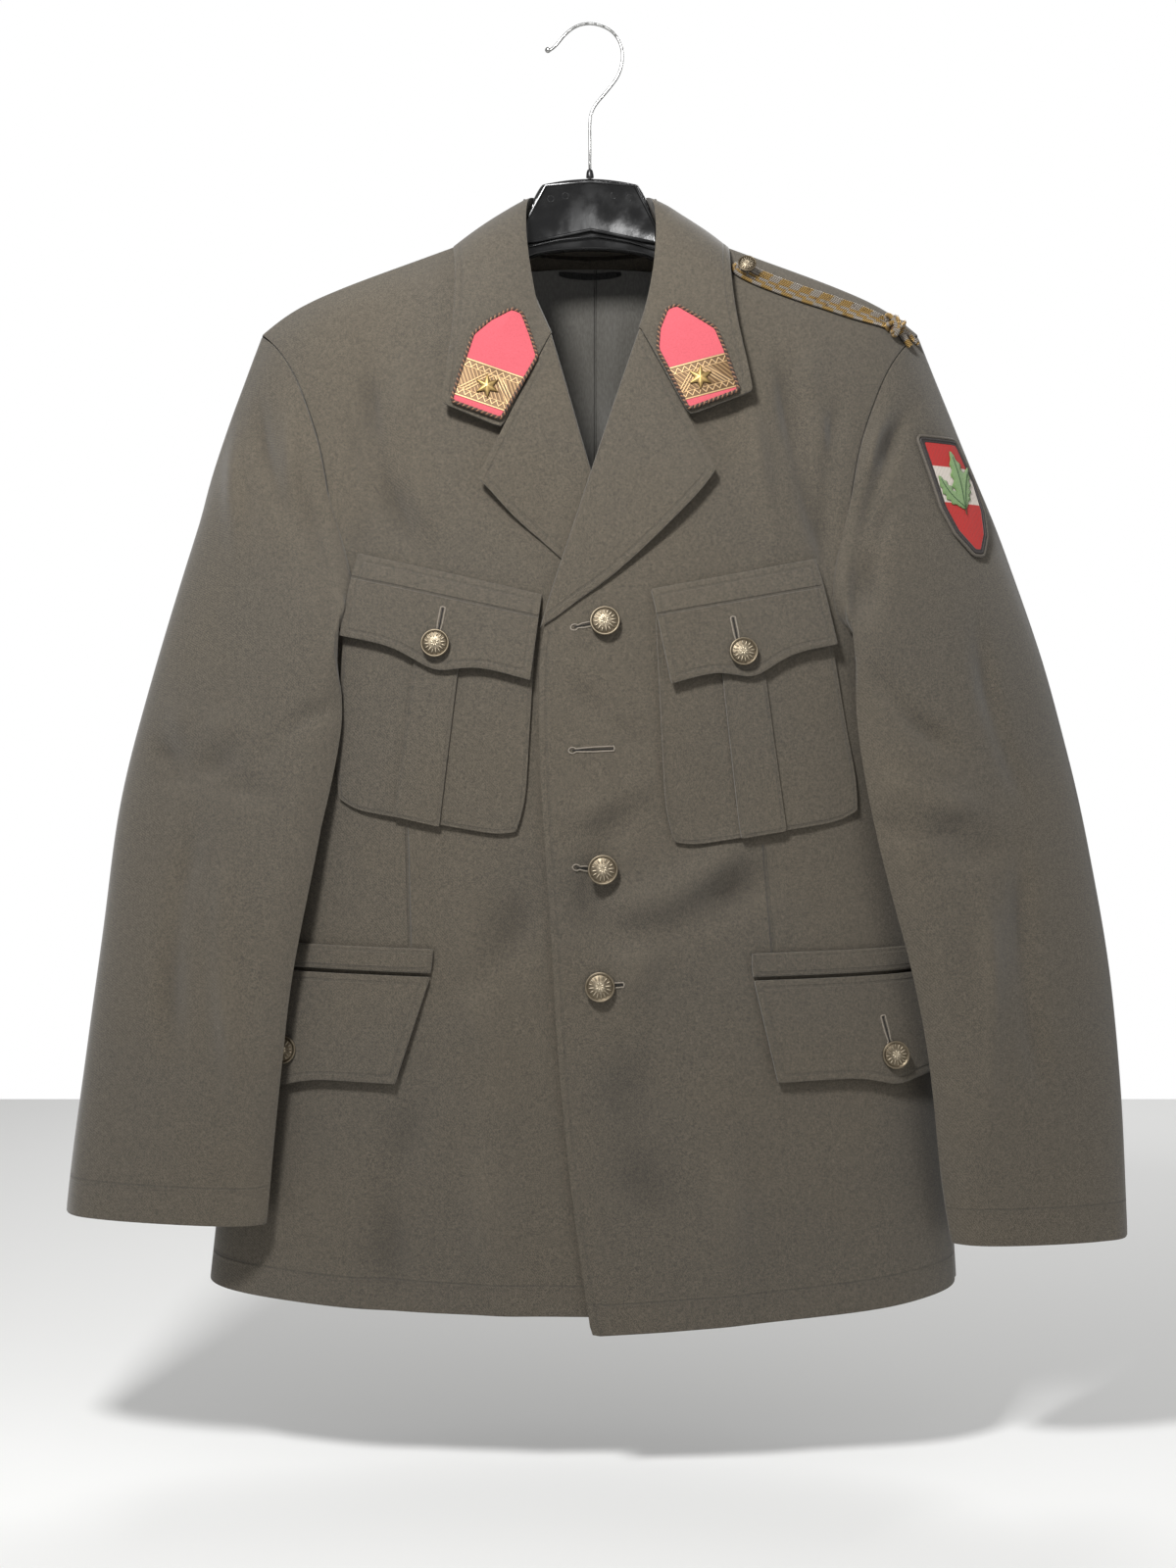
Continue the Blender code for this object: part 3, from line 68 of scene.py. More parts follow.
def ease(value, low, high):
    share = min(1.0, max(0.0, (value - low) / (high - low)))
    return share * share * (3 - 2 * share)


# node sums for the finishes
class Signal:
    def __init__(self, recipe, socket):
        self.recipe = recipe
        self.socket = socket

    def sum(self, operation, first, second):
        return self.recipe.node("ShaderNodeMath", {"operation": operation}, {0: first, 1: second})

    def __add__(self, other):
        return self.sum("ADD", self, other)

    def __radd__(self, other):
        return self.sum("ADD", other, self)

    def __sub__(self, other):
        return self.sum("SUBTRACT", self, other)

    def __rsub__(self, other):
        return self.sum("SUBTRACT", other, self)

    def __mul__(self, other):
        return self.sum("MULTIPLY", self, other)

    def __rmul__(self, other):
        return self.sum("MULTIPLY", other, self)

    def __truediv__(self, other):
        return self.sum("DIVIDE", self, other)

    def __abs__(self):
        return self.sum("ABSOLUTE", self, 0.0)


class Recipe:
    def __init__(self, name, roughness, metallic=0.0, sheen=0.0):
        self.material = bpy.data.materials.new(name)
        self.material.use_nodes = True
        self.tree = self.material.node_tree
        self.shader = self.tree.nodes["Principled BSDF"]
        self.shader.inputs["Roughness"].default_value = roughness
        self.shader.inputs["Metallic"].default_value = metallic
        self.shader.inputs["Sheen Weight"].default_value = sheen
        self.shader.inputs["Sheen Roughness"].default_value = 0.5
        self.place = self.node("ShaderNodeTexCoord", {}, {}, "Object")
        self.x, self.y, self.z = self.parts(self.place)

    def node(self, kind, settings, values, out=0):
        made = self.tree.nodes.new(kind)
        for key, value in settings.items():
            setattr(made, key, value)
        for key, value in values.items():
            self.feed(made.inputs[key], value)
        return Signal(self, made.outputs[out])

    def feed(self, socket, value):
        if isinstance(value, Signal):
            self.tree.links.new(value.socket, socket)
        else:
            socket.default_value = value

    def parts(self, vector):
        first = self.node("ShaderNodeSeparateXYZ", {}, {0: vector})
        return [Signal(self, one) for one in first.socket.node.outputs]

    def blend(self, share, first, second):
        colours = [c if isinstance(c, Signal) else (*c, 1.0) for c in (first, second)]
        return self.node("ShaderNodeMix", {"data_type": "RGBA"}, {0: share, 6: colours[0], 7: colours[1]}, 2)

    def ramp(self, value, low, high, start=0.0, end=1.0):
        return self.node("ShaderNodeMapRange", {"interpolation_type": "SMOOTHSTEP"},
                         {0: value, 1: low, 2: high, 3: start, 4: end})

    def between(self, value, low, high, soft):
        # 1 from low to high, with soft ends
        return self.ramp(value, low, low + soft) * self.ramp(value, high - soft, high, 1.0, 0.0)

    def noise(self, scale, detail=2.0, stretch=(1, 1, 1)):
        where = self.node("ShaderNodeMapping", {}, {"Vector": self.place, "Scale": stretch})
        return self.node("ShaderNodeTexNoise", {}, {"Vector": where, "Scale": scale, "Detail": detail})

    def wave(self, value, pitch):
        return self.node("ShaderNodeMath", {"operation": "SINE"}, {0: value * (2 * pi / pitch)})

    def zigzag(self, value, period):
        # 0 to 1 and back once in every period
        part = self.node("ShaderNodeMath", {"operation": "FRACT"}, {0: value / period})
        return abs(part - 0.5) * 2

    def attribute(self, name):
        return self.node("ShaderNodeAttribute", {"attribute_name": name}, {}, "Fac")

    def line(self, distance, at, half):
        # 1 on a line that runs at a set distance from an edge
        return self.ramp(abs(distance - at), half * 0.35, half, 1.0, 0.0)

    def finish(self, colour, height=None, depth=0.001, roughness=None, metallic=None):
        self.feed(self.shader.inputs["Base Color"], colour)
        if height is not None:
            bump = self.node("ShaderNodeBump", {}, {"Strength": 1.0, "Distance": depth, "Height": height})
            self.feed(self.shader.inputs["Normal"], bump)
        if roughness is not None:
            self.feed(self.shader.inputs["Roughness"], roughness)
        if metallic is not None:
            self.feed(self.shader.inputs["Metallic"], metallic)
        return self.material


# wool twill, with the sewn lines that follow a panel's edges; painted shade darkens the grooves of the sewn
# lines and the troughs of the creases, and painted light brightens the creases' ridges
woolLook = {
    "light": (0.126, 0.105, 0.076), "dark": (0.035, 0.029, 0.021), "warm": (0.078, 0.065, 0.045),
    # thread is the painted shade for the grooves of the sewn lines
    "cool": (0.064, 0.057, 0.045), "shade": (0.018, 0.015, 0.012), "thread": (0.03, 0.027, 0.022),
    "fibre": 1500.0, "tuft": 430, "fade": 7.0, "twillPitch": 0.0016,
    # sewn lines across a panel: half width, relief and length of the soft ends
    "dart": (0.0016, 1.5, 0.006), "band": (0.0013, 1.1, 0.001), "lineShade": 0.3,
}


def woolTwill(name, hem=None, stitch=None, lines=()):
    cloth = Recipe(name, 0.92, sheen=0.22)
    fibre = cloth.noise(woolLook["fibre"])
    tuft = cloth.noise(woolLook["tuft"], 3.0)
    fade = cloth.noise(woolLook["fade"], 3.0)
    twill = cloth.wave(cloth.x + cloth.z * 0.8 + cloth.y * 0.6, woolLook["twillPitch"])
    weave = fibre * 0.8 + tuft * 0.2 + twill * 0.04
    colour = cloth.blend(cloth.ramp(weave, 0.4, 0.62), woolLook["dark"], woolLook["light"])
    tone = cloth.blend(cloth.ramp(fade, 0.35, 0.65), woolLook["warm"], woolLook["cool"])
    colour = cloth.blend(0.34, colour, tone)
    # troughs hold shade and ridges catch light
    crease = cloth.attribute("crease")
    colour = cloth.blend(cloth.ramp(crease, -0.009, 0.0, 0.26, 0.0), colour, woolLook["shade"])
    colour = cloth.blend(cloth.ramp(crease, 0.001, 0.008, 0.0, 0.14), colour, woolLook["light"])
    height = weave * 0.16 + fade * 0.9
    # the mask below gathers the painted shade in the grooves of the hem, the stitching, the darts and the
    # bands
    sewnShade = None
    if hem:
        edge = cloth.attribute("hemWay")
        band = cloth.ramp(edge, hem - 0.0007, hem + 0.0007)
        height = height - band * 0.8 + cloth.line(edge, hem, 0.003) * 0.35
        sewnShade = cloth.line(edge, hem + 0.0006, 0.0012) * 0.38
    if stitch:
        edge = cloth.attribute("edgeWay")
        groove = cloth.line(edge, stitch, 0.0013)
        height = height - groove * 0.45
        sewnShade = groove * 0.16 if sewnShade is None else sewnShade + groove * 0.16
    for kind, first, last in lines:
        half, relief, ends = woolLook[kind]
        along, across = (cloth.x, cloth.z) if kind == "band" else (cloth.z, cloth.x)
        (p0, q0), (p1, q1) = (first, last) if kind == "band" else (first[::-1], last[::-1])
        away = across - (q0 + (along - p0) * ((q1 - q0) / (p1 - p0)))
        inside = cloth.between(along, min(p0, p1), max(p0, p1), ends)
        inside = inside * cloth.ramp(cloth.y, -0.002, 0.002, 1.0, 0.0)
        groove = cloth.line(away, 0.0, half) * inside
        height = height - groove * relief
        sewnShade = groove * woolLook["lineShade"] if sewnShade is None else sewnShade + groove * woolLook["lineShade"]
    if sewnShade is not None:
        # painted shade: the grooves of the sewn lines darkened with the thread colour
        colour = cloth.blend(sewnShade, colour, woolLook["thread"])
    return cloth.finish(colour, height, 0.0006)


# the panels: a copy of each solid, merged, rounded and creased
def pickOnly(*picked):
    # leaves edit mode too
    if bpy.context.mode != "OBJECT":
        bpy.ops.object.mode_set(mode="OBJECT")
    bpy.ops.object.select_all(action="DESELECT")
    for one in picked:
        one.select_set(True)
    bpy.context.view_layer.objects.active = picked[0]


def editAll(piece, kind="VERT"):
    pickOnly(piece)
    bpy.ops.object.mode_set(mode="EDIT")
    bpy.ops.mesh.select_mode(type=kind)
    bpy.ops.mesh.select_all(action="SELECT")


def copyOf(node, name):
    # a node's mesh under a new name, left in edit mode
    piece = bpy.data.objects.new(name, nodes[node].data.copy())
    scene.collection.objects.link(piece)
    piece.data.materials.clear()
    editAll(piece)
    bpy.ops.mesh.remove_doubles(threshold=0.00002)
    bpy.ops.mesh.customdata_custom_splitnormals_clear()
    bpy.ops.mesh.tris_convert_to_quads(face_threshold=radians(50), shape_threshold=radians(50))
    return piece


def roundOff(piece, levels, hold=0.9, sharp=48):
    # rim edges keep their line while the panel between them is rounded
    bpy.ops.mesh.select_mode(type="EDGE")
    bpy.ops.mesh.select_all(action="DESELECT")
    bpy.ops.mesh.edges_select_sharp(sharpness=radians(sharp))
    bpy.ops.transform.edge_crease(value=hold)
    pickOnly(piece)
    rounded = piece.modifiers.new("rounded", "SUBSURF")
    rounded.subdivision_type = "SIMPLE" if hold == 1.0 else "CATMULL_CLARK"
    rounded.levels = levels
    rounded.render_levels = levels
    bpy.ops.object.modifier_apply(modifier=rounded.name)
    bpy.ops.object.shade_smooth_by_angle(angle=radians(55))


def store(piece, name, values):
    layer = piece.data.attributes.new(name, "FLOAT", "POINT")
    for k, value in enumerate(values):
        layer.data[k].value = value


def markEdge(piece, name, keep, sharp=0.8):
    # how far each spot lies from the kept stretch of the rim, for the sewn lines
    work = bmesh.new()
    work.from_mesh(piece.data)
    rim = []
    for edge in work.edges:
        if len(edge.link_faces) == 2 and edge.calc_face_angle(0.0) > sharp:
            first, second = (v.co for v in edge.verts)
            if keep((first + second) / 2, (second - first).normalized()):
                steps = max(1, int((first - second).length / 0.0012))
                rim += [first.lerp(second, k / steps) for k in range(steps + 1)]
    work.free()
    tree = KDTree(len(rim))
    for k, spot in enumerate(rim):
        tree.insert(spot, k)
    tree.balance()
    store(piece, name, [tree.find(vertex.co)[2] if rim else 1.0 for vertex in piece.data.vertices])


# half width and half depth of the body and of a sleeve
ovals = {"body": (0.235, 0.08), "sleeve": (0.075, 0.03)}


def bodyOut(spot):
    # outward from the body's upright axis
    wide, deep = ovals["body"]
    out = Vector((spot.x / wide ** 2, spot.y / deep ** 2, 0.0))
    return out.normalized() if out.length > 0 else Vector((0, -1, 0))


creaseLook = {"gain": 2.5, "tight": 0.58, "least": 0.0062}


def creases(*rows):
    # from, to (on the front view), then half width, height and bow in millimetres
    return [(*seen(*row[:2]), *seen(*row[2:4]), *(size / 1000 for size in row[4:])) for row in rows]


def foldAt(spot, folds):
    # height of the soft ridges (+) and troughs (-) at a spot seen from the front or back
    total = 0.0
    for x0, z0, x1, z1, spread, depth, bow in folds:
        width = max(creaseLook["least"], creaseLook["tight"] * spread)
        runX, runZ = x1 - x0, z1 - z0
        length = hypot(runX, runZ)
        along = ((spot.x - x0) * runX + (spot.z - z0) * runZ) / length ** 2
        if -0.25 < along < 1.25:
            across = ((spot.x - x0) * runZ - (spot.z - z0) * runX) / length - bow * sin(pi * along)
            if abs(across) < 3 * width:
                swell = exp(-(across / width) ** 2)
                ends = ease(along, -0.2, 0.25) * (1 - ease(along, 0.7, 1.2))
                total += depth * swell * ends * (0.8 + 0.3 * sin(9 * along + 40 * x0))
    return total * creaseLook["gain"]


def ripple(spot, seed):
    # a slow uneven wave, so that no stretch of cloth is perfectly fair
    return (sin(21 * spot.x + 9 * spot.z + seed) * sin(13 * spot.z - 7 * spot.x + 2.3 * seed)
            + 0.5 * sin(43 * spot.x - 17 * spot.z + seed) * sin(31 * spot.z + 3.1 * seed))


bodyFolds = {
    "front": creases(
        (640, 820, 600, 960, 20, -3, 10), (700, 900, 640, 1040, 24, 3, 12),
        (540, 900, 470, 1010, 22, -2.8, -10), (480, 900, 520, 1120, 22, 2.6, 8),
        (640, 1080, 680, 1250, 30, -2.8, 10), (720, 1120, 740, 1330, 26, 3, -6),
        (420, 1130, 400, 1330, 24, -3, 8), (500, 1130, 520, 1340, 28, 2.8, 6),
        (372, 370, 420, 560, 14, -2.8, 8), (410, 380, 452, 560, 14, 2, 6),
        (350, 420, 366, 590, 10, -1.2, -6), (797, 350, 836, 560, 13, -3, 3),
        (762, 400, 790, 570, 14, 2, 2), (856, 410, 842, 590, 10, -1.6, 4),
        (826, 350, 846, 470, 12, 1.4, 4), (585, 700, 660, 760, 12, -1.6, 4),
        (636, 958, 786, 886, 20, -3.4, 5), (626, 926, 760, 856, 18, 2.4, 4),
        (580, 830, 660, 800, 14, 1.6, 4),
    ),
    # on the back, all in millimetres
    "back": [tuple(size / 1000 for size in row) for row in (
        (-60, -330, -80, -520, 22, -3, 10), (70, -320, 55, -540, 24, -3, -8),
        (-150, -330, -120, -500, 16, -3.4, -10), (150, -330, 128, -500, 16, -3.4, 10),
        (-30, -620, -60, -900, 28, 3.4, 8), (40, -640, 85, -900, 30, -3.4, 8),
        (-140, -640, -150, -900, 26, -3.4, -6), (150, -660, 160, -900, 24, 3, 6),
        (-100, -560, 90, -580, 14, -1.8, 10),
    )],
}


def bodyShift(spot):
    out = bodyOut(spot)
    front = ease(-spot.y, 0.0, 0.02)
    back = ease(spot.y, 0.0, 0.02)
    low = ease(-spot.z, 0.2, 0.3)
    high = foldAt(spot, bodyFolds["front"]) * front + foldAt(spot, bodyFolds["back"]) * back
    high += 0.0008 * ripple(spot, 1.0 if spot.y < 0 else 4.0)
    return out * high * low


sleeveFolds = {
    -1: creases(
        (150, 762, 246, 776, 6.5, -3, 4), (160, 790, 280, 812, 6, -2.2, -3),
        (170, 730, 250, 742, 8, 1.6, 3), (262, 340, 288, 520, 8.5, -4, 8), (236, 380, 240, 560, 12, 3, 4),
        (290, 380, 322, 560, 8, 2.6, 6), (300, 470, 322, 640, 9, -3, -4),
        (200, 860, 180, 1080, 16, -2.4, 6), (230, 900, 240, 1130, 12, 2.4, 4),
        (330, 720, 262, 780, 8, -1.4, 6),
    ),
    1: creases(
        (905, 842, 1000, 850, 7, -3.2, 3), (950, 880, 1040, 862, 7, -2.4, -3),
        (912, 800, 1010, 826, 9, 2.6, 2), (944, 392, 893, 500, 7, -4, 4), (922, 380, 884, 500, 8, 3, 4),
        (905, 520, 898, 640, 10, -2.6, 5), (890, 500, 884, 660, 8, -2.8, 4),
        (1000, 640, 1040, 800, 12, -2.2, 6), (1040, 880, 1060, 1100, 15, -2.4, 6),
        (1000, 900, 1010, 1130, 13, 2.4, -4), (900, 690, 980, 770, 8, -2.4, 6),
    ),
}


# how far the sleeve's front leans over the body's side: height under the crest, inner edge, reach
leans = {
    -1: ((0.34, 0.165, 0.0), (0.43, 0.178, 0.014), (0.5, 0.18, 0.011), (0.57, 0.188, 0.007),
         (0.72, 0.21, 0.01), (0.87, 0.224, 0.008)),
    1: ((0.34, 0.17, 0.0), (0.43, 0.184, 0.009), (0.5, 0.187, 0.007), (0.66, 0.213, 0.006),
        (0.75, 0.231, 0.009), (0.87, 0.248, 0.01)),
}


def leanAt(spot, side):
    rows = leans[side]
    drop = min(rows[-1][0], max(rows[0][0], -spot.z))
    upper, lower = next((a, b) for a, b in zip(rows, rows[1:]) if drop <= b[0])
    share = (drop - upper[0]) / (lower[0] - upper[0])
    edge, reach = (a + (b - a) * share for a, b in zip(upper[1:], lower[1:]))
    reach *= (1 - ease(abs(spot.x), edge + 0.012, edge + 0.085)) * ease(-spot.y, -0.03, 0.0)
    return Vector((-side * reach, -0.4 * reach, 0.0))


def sleeveShift(side):
    def shift(spot):
        drop = -spot.z
        across = side * (0.245 + 0.19 * max(0.0, drop - 0.4))
        middle = Vector((across, 0.01 - 0.11 * max(0.0, drop - 0.45), spot.z))
        wide, deep = ovals["sleeve"]
        out = Vector(((spot.x - middle.x) / wide ** 2, (spot.y - middle.y) / deep ** 2, 0.0)).normalized()
        level = ease(drop, 0.25, 0.33)
        face = ease(-out.y, -0.1, 0.6)
        rear = ease(out.y, -0.1, 0.6)
        high = foldAt(spot, sleeveFolds[side]) * (face + 0.8 * rear)
        high += 0.0009 * ripple(spot, 7.0 + side)
        return out * high * level + leanAt(spot, side)
    return shift


def reshape(piece, shift):
    # moves the cloth and keeps how far each spot went out or in, for the shade of the creases
    moves = [shift(vertex.co) for vertex in piece.data.vertices]
    store(piece, "crease", [move.dot(vertex.normal) for move, vertex in zip(moves, piece.data.vertices)])
    for move, vertex in zip(moves, piece.data.vertices):
        vertex.co += move
    piece.data.update()


def finished(piece, material, replaced=()):
    piece.data.materials.clear()
    piece.data.materials.append(material)
    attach(piece, "root")
    if replaced:
        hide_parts(*replaced)
    return piece


def dress(node, name, levels, material, shift=None, hold=0.9, sharp=48):
    piece = copyOf(node, name)
    roundOff(piece, levels, hold, sharp)
    if shift:
        reshape(piece, shift)
    return finished(piece, material, [node])


def hemRim(spot, run):
    return spot.z < -0.855 and abs(run.z) < 0.5


def cuffRim(spot, run):
    return spot.z < -0.8 and abs(run.z) < 0.5


def buttonRim(spot, run):
    return abs(spot.x) < 0.045 and spot.z < -0.44 and abs(run.z) > 0.7


def wholeRim(spot, run):
    return True


# how far the sewn lines lie from the edges
sewnAt = {"hem": 0.0205, "cuff": 0.0255, "front": 0.0048, "collar": 0.005}
darts = {"right": ("dart", seen(418, 838), seen(421, 968)), "left": ("dart", seen(776, 856), seen(788, 996))}
panels = {}


def sewPanel(node, cloth, edges, shift=None, levels=3, hold=0.9):
    # edges: which stretch of the rim each sewn line follows
    panels[node] = dress(node, "cloth_" + node, levels, cloth, shift, hold)
    for name, keep in edges.items():
        markEdge(panels[node], name, keep)


for word, side in (("left", 1), ("right", -1)):
    cloth = woolTwill("wool_front_" + word, sewnAt["hem"], sewnAt["front"], [darts[word]])
    sewPanel("front_" + word, cloth, {"hemWay": hemRim, "edgeWay": buttonRim}, bodyShift)
    cloth = woolTwill("wool_back_" + word, sewnAt["hem"])
    sewPanel("back_" + word, cloth, {"hemWay": hemRim}, bodyShift)
    for half in ("_top", "_under"):
        cloth = woolTwill("wool_sleeve_" + word + half, sewnAt["cuff"])
        sewPanel("sleeve_" + word + half, cloth, {"hemWay": cuffRim}, sleeveShift(side))
print("jacket: body and sleeves")

# collar and lapels, with a stitched edge
def lapelEdge(side):
    def keep(spot, run):
        # the fold runs from the top button up to the neck
        root = -0.031 + 0.065 * ease(spot.z, -0.437, -0.235)
        return side * spot.x > root + 0.006
    return keep


def collarRim(spot, run):
    return spot.y > 0.045 or abs(spot.x) > 0.055


sewPanel("collar", woolTwill("wool_collar", stitch=sewnAt["collar"]), {"edgeWay": collarRim})
for word, side in (("left", 1), ("right", -1)):
    cloth = woolTwill("wool_lapel_" + word, stitch=sewnAt["collar"])
    sewPanel("lapel_" + word, cloth, {"edgeWay": lapelEdge(side)})
print("jacket: collar and lapels")

# pockets, flaps and welts
flapBands = {
    "left": ("band", seen(662, 633), seen(836, 601)), "right": ("band", seen(356, 590), seen(553, 634)),
}
for word, band in flapBands.items():
    # node, finish, sewn line, rounding and band
    for node, kind, stitch, levels, lines in (
            ("pocket_chest_", "pocket_", 0.0018, 3, ()), ("pleat_chest_", "pleat_", 0.0016, 3, ()),
            ("flap_chest_", "flap_chest_", 0.005, 3, [band]), ("flap_hip_", "flap_hip_", 0.005, 3, ()),
            ("welt_hip_", "welt_", 0.0022, 2, ())):
        cloth = woolTwill("wool_" + kind + word, stitch=stitch, lines=lines)
        sewPanel(node + word, cloth, {"edgeWay": wholeRim}, bodyShift, levels, 0.8)
print("jacket: pockets")

# lining with its centre seam, and the hang loop
def satinLining():
    cloth = Recipe("satin_lining", 0.42, sheen=0.1)
    grain = cloth.noise(900, 2.0, (1, 1, 0.25))
    drape = cloth.noise(11.0, 2.0, (1.6, 1, 0.5))
    seam = cloth.line(cloth.x, 0.004, 0.0012)
    # painted shade: the drape's troughs are darker, from the same noise as its bump
    colour = cloth.blend(cloth.ramp(drape, 0.3, 0.7), (0.034, 0.033, 0.03), (0.088, 0.082, 0.072))
    colour = cloth.blend(cloth.ramp(grain, 0.35, 0.7) * 0.35, colour, (0.15, 0.148, 0.13))
    # painted shade: darker towards the bottom, where less light falls
    colour = cloth.blend(cloth.ramp(cloth.z, -0.4, -0.2, 0.35, 0.0), colour, (0.026, 0.026, 0.025))
    # painted shade in the groove of the centre seam
    colour = cloth.blend(seam * 0.32, colour, (0.02, 0.02, 0.018))
    return cloth.finish(colour, drape * 1.4 + grain * 0.05 - seam * 0.3, 0.002)


def liningShift(spot):
    out = Vector((0.0, -1.0, 0.0))
    wave = sin(62 * spot.x + 9 * sin(7 * spot.z)) + 0.5 * sin(131 * spot.x - 12 * spot.z)
    wave = abs(wave) * ease(abs(spot.x), 0.004, 0.02) * ease(-spot.z, 0.17, 0.24)
    # it follows the back's creases
    return out * 0.0016 * wave + bodyOut(spot) * min(0.0, foldAt(spot, bodyFolds["back"])) * 1.1


panels["lining"] = dress("lining_back", "satin_lining_back", 3, satinLining(), liningShift)


def wovenTape(name, colour):
    tape = Recipe(name, 0.7, sheen=0.1)
    rib = tape.wave(tape.x, 0.0012)
    light = tuple(2.1 * c for c in colour)
    return tape.finish(tape.blend(tape.ramp(rib, -1, 1) * 0.5, colour, light), rib, 0.0002)


dress("hang_loop", "tape_hang_loop", 2, wovenTape("black_tape", (0.018, 0.018, 0.018)), hold=0.4)
print("jacket: lining and loop")

# where a small piece sits on the cloth, seen from the front
def surfaceOf(*pieces):
    points, faces = [], []
    for piece in pieces:
        start = len(points)
        points += [vertex.co.copy() for vertex in piece.data.vertices]
        faces += [[start + k for k in face.vertices] for face in piece.data.polygons]
    return BVHTree.FromPolygons(points, faces)


def landOn(tree, x, z, lift=0.0):
    # the spot of the cloth behind (x, z), off it by lift
    spot, facing, _, _ = tree.ray_cast(Vector((x, -0.4, z)), Vector((0, 1, 0)))
    if spot is None:
        # beside the cloth: the nearest place on it
        spot, facing, _, _ = tree.find_nearest(Vector((x, -0.1, z)))
    return spot + (-facing if facing.y > 0 else facing) * lift


def cordPiece(name, points, thick, material, closed=False, sides=2, replaced=()):
    line = bpy.data.curves.new(name, "CURVE")
    line.dimensions = "3D"
    line.bevel_depth = thick
    line.bevel_resolution = sides
    line.use_fill_caps = not closed
    spline = line.splines.new("POLY")
    spline.points.add(len(points) - 1)
    for stop, spot in zip(spline.points, points):
        stop.co = (*spot, 1.0)
    spline.use_cyclic_u = closed
    made = bpy.data.objects.new(name, line)
    scene.collection.objects.link(made)
    pickOnly(made)
    bpy.ops.object.convert(target="MESH")
    made = bpy.context.object
    editAll(made)
    bpy.ops.mesh.remove_doubles(threshold=0.000005)
    bpy.ops.mesh.normals_make_consistent(inside=False)
    pickOnly(made)
    bpy.ops.object.shade_smooth()
    return finished(made, material, replaced)


def evenly(points, step, closed=False):
    # the same line with a stop at every step of its length
    stops = [Vector(spot) for spot in points]
    if closed:
        stops.append(stops[0].copy())
    lengths = [0.0]
    for a, b in zip(stops, stops[1:]):
        lengths.append(lengths[-1] + (b - a).length)
    count = max(3, int(lengths[-1] / step))
    line = []
    for k in range(count + (0 if closed else 1)):
        at = lengths[-1] * k / count
        i = max(j for j in range(len(lengths)) if lengths[j] <= at + 1e-12)
        if i == len(stops) - 1:
            line.append(stops[-1].copy())
        else:
            line.append(stops[i].lerp(stops[i + 1], (at - lengths[i]) / (lengths[i + 1] - lengths[i])))
    return line


def softened(points, rounds, closed=False):
    # corners of a line eased by averaging its neighbours
    line = [Vector(spot) for spot in points]
    for _ in range(rounds):
        last = len(line) - 1
        eased = []
        for k, spot in enumerate(line):
            if not closed and k in (0, last):
                eased.append(spot)
            else:
                eased.append((line[k - 1] + spot * 2 + line[(k + 1) % len(line)]) / 4)
        line = eased
    return line


def joined(name, pieces, material, replaced=()):
    pickOnly(*pieces)
    if len(pieces) > 1:
        bpy.ops.object.join()
    made = bpy.context.object
    made.name = name
    return finished(made, material, replaced)


def setInPlace(piece, spot, facing, turn=0.0):
    # stands a piece modelled at the origin, with +Z as its top, on a spot of the garment
    aim = facing.to_track_quat("Z", "Y").to_matrix().to_4x4()
    piece.data.transform(Matrix.Translation(spot) @ aim @ Matrix.Rotation(turn, 4, "Z"))
    piece.data.update()


# buttons: domed metal with a rolled rim and a plain rosette of rays
buttonLook = {"rays": 16, "petals": 8, "metal": (0.5, 0.43, 0.32), "worn": (0.16, 0.13, 0.09)}


def agedMetal(name, bright, dull):
    metal = Recipe(name, 0.36, metallic=1.0)
    rub = metal.noise(320, 3.0)
    grit = metal.noise(1900.0)
    dirt = metal.attribute("hollow")
    colour = metal.blend(metal.ramp(rub, 0.3, 0.7), tuple(0.72 * c for c in bright), bright)
    colour = metal.blend(metal.ramp(dirt, 0.15, 0.75), colour, dull)
    return metal.finish(colour, rub * 0.3 + grit * 0.12, 0.00012, metal.ramp(rub, 0.2, 0.8, 0.38, 0.58))


def markHollows(piece, rise):
    # dirt stays in the low parts of an ornament; rise is 1 at its top
    store(piece, "hollow", [1.0 - min(1.0, max(0.0, rise(vertex.co))) for vertex in piece.data.vertices])


def softEdges(piece, width, corner):
    # rounds the corners sharper than an angle in degrees
    pickOnly(piece)
    soft = piece.modifiers.new("soft", "BEVEL")
    soft.width = width
    soft.segments = 2
    soft.limit_method = "ANGLE"
    soft.angle_limit = radians(corner)
    bpy.ops.object.modifier_apply(modifier=soft.name)
    bpy.ops.object.shade_smooth_by_angle(angle=radians(35))


def ball(segments, rings, sizes, place):
    bpy.ops.mesh.primitive_uv_sphere_add(segments=segments, ring_count=rings, radius=1.0)
    made = bpy.context.object
    made.data.transform(place @ Matrix.Diagonal((*sizes, 1.0)))
    return made


def rosette():
    # turn, length, width, thickness, distance and height of each ray and petal; all but the
    # thickness and the height are shares, of a whole turn or of the radius
    marks = []
    for k in range(buttonLook["rays"]):
        long, away = (0.2, 0.6) if k % 2 else (0.27, 0.52)
        marks.append((k / buttonLook["rays"], long, 0.055, 0.0005, away, 0.0047 - 0.0009 * away))
    for k in range(buttonLook["petals"]):
        marks.append(((k + 0.5) / buttonLook["petals"], 0.15, 0.085, 0.0006, 0.19, 0.0048))
    return marks


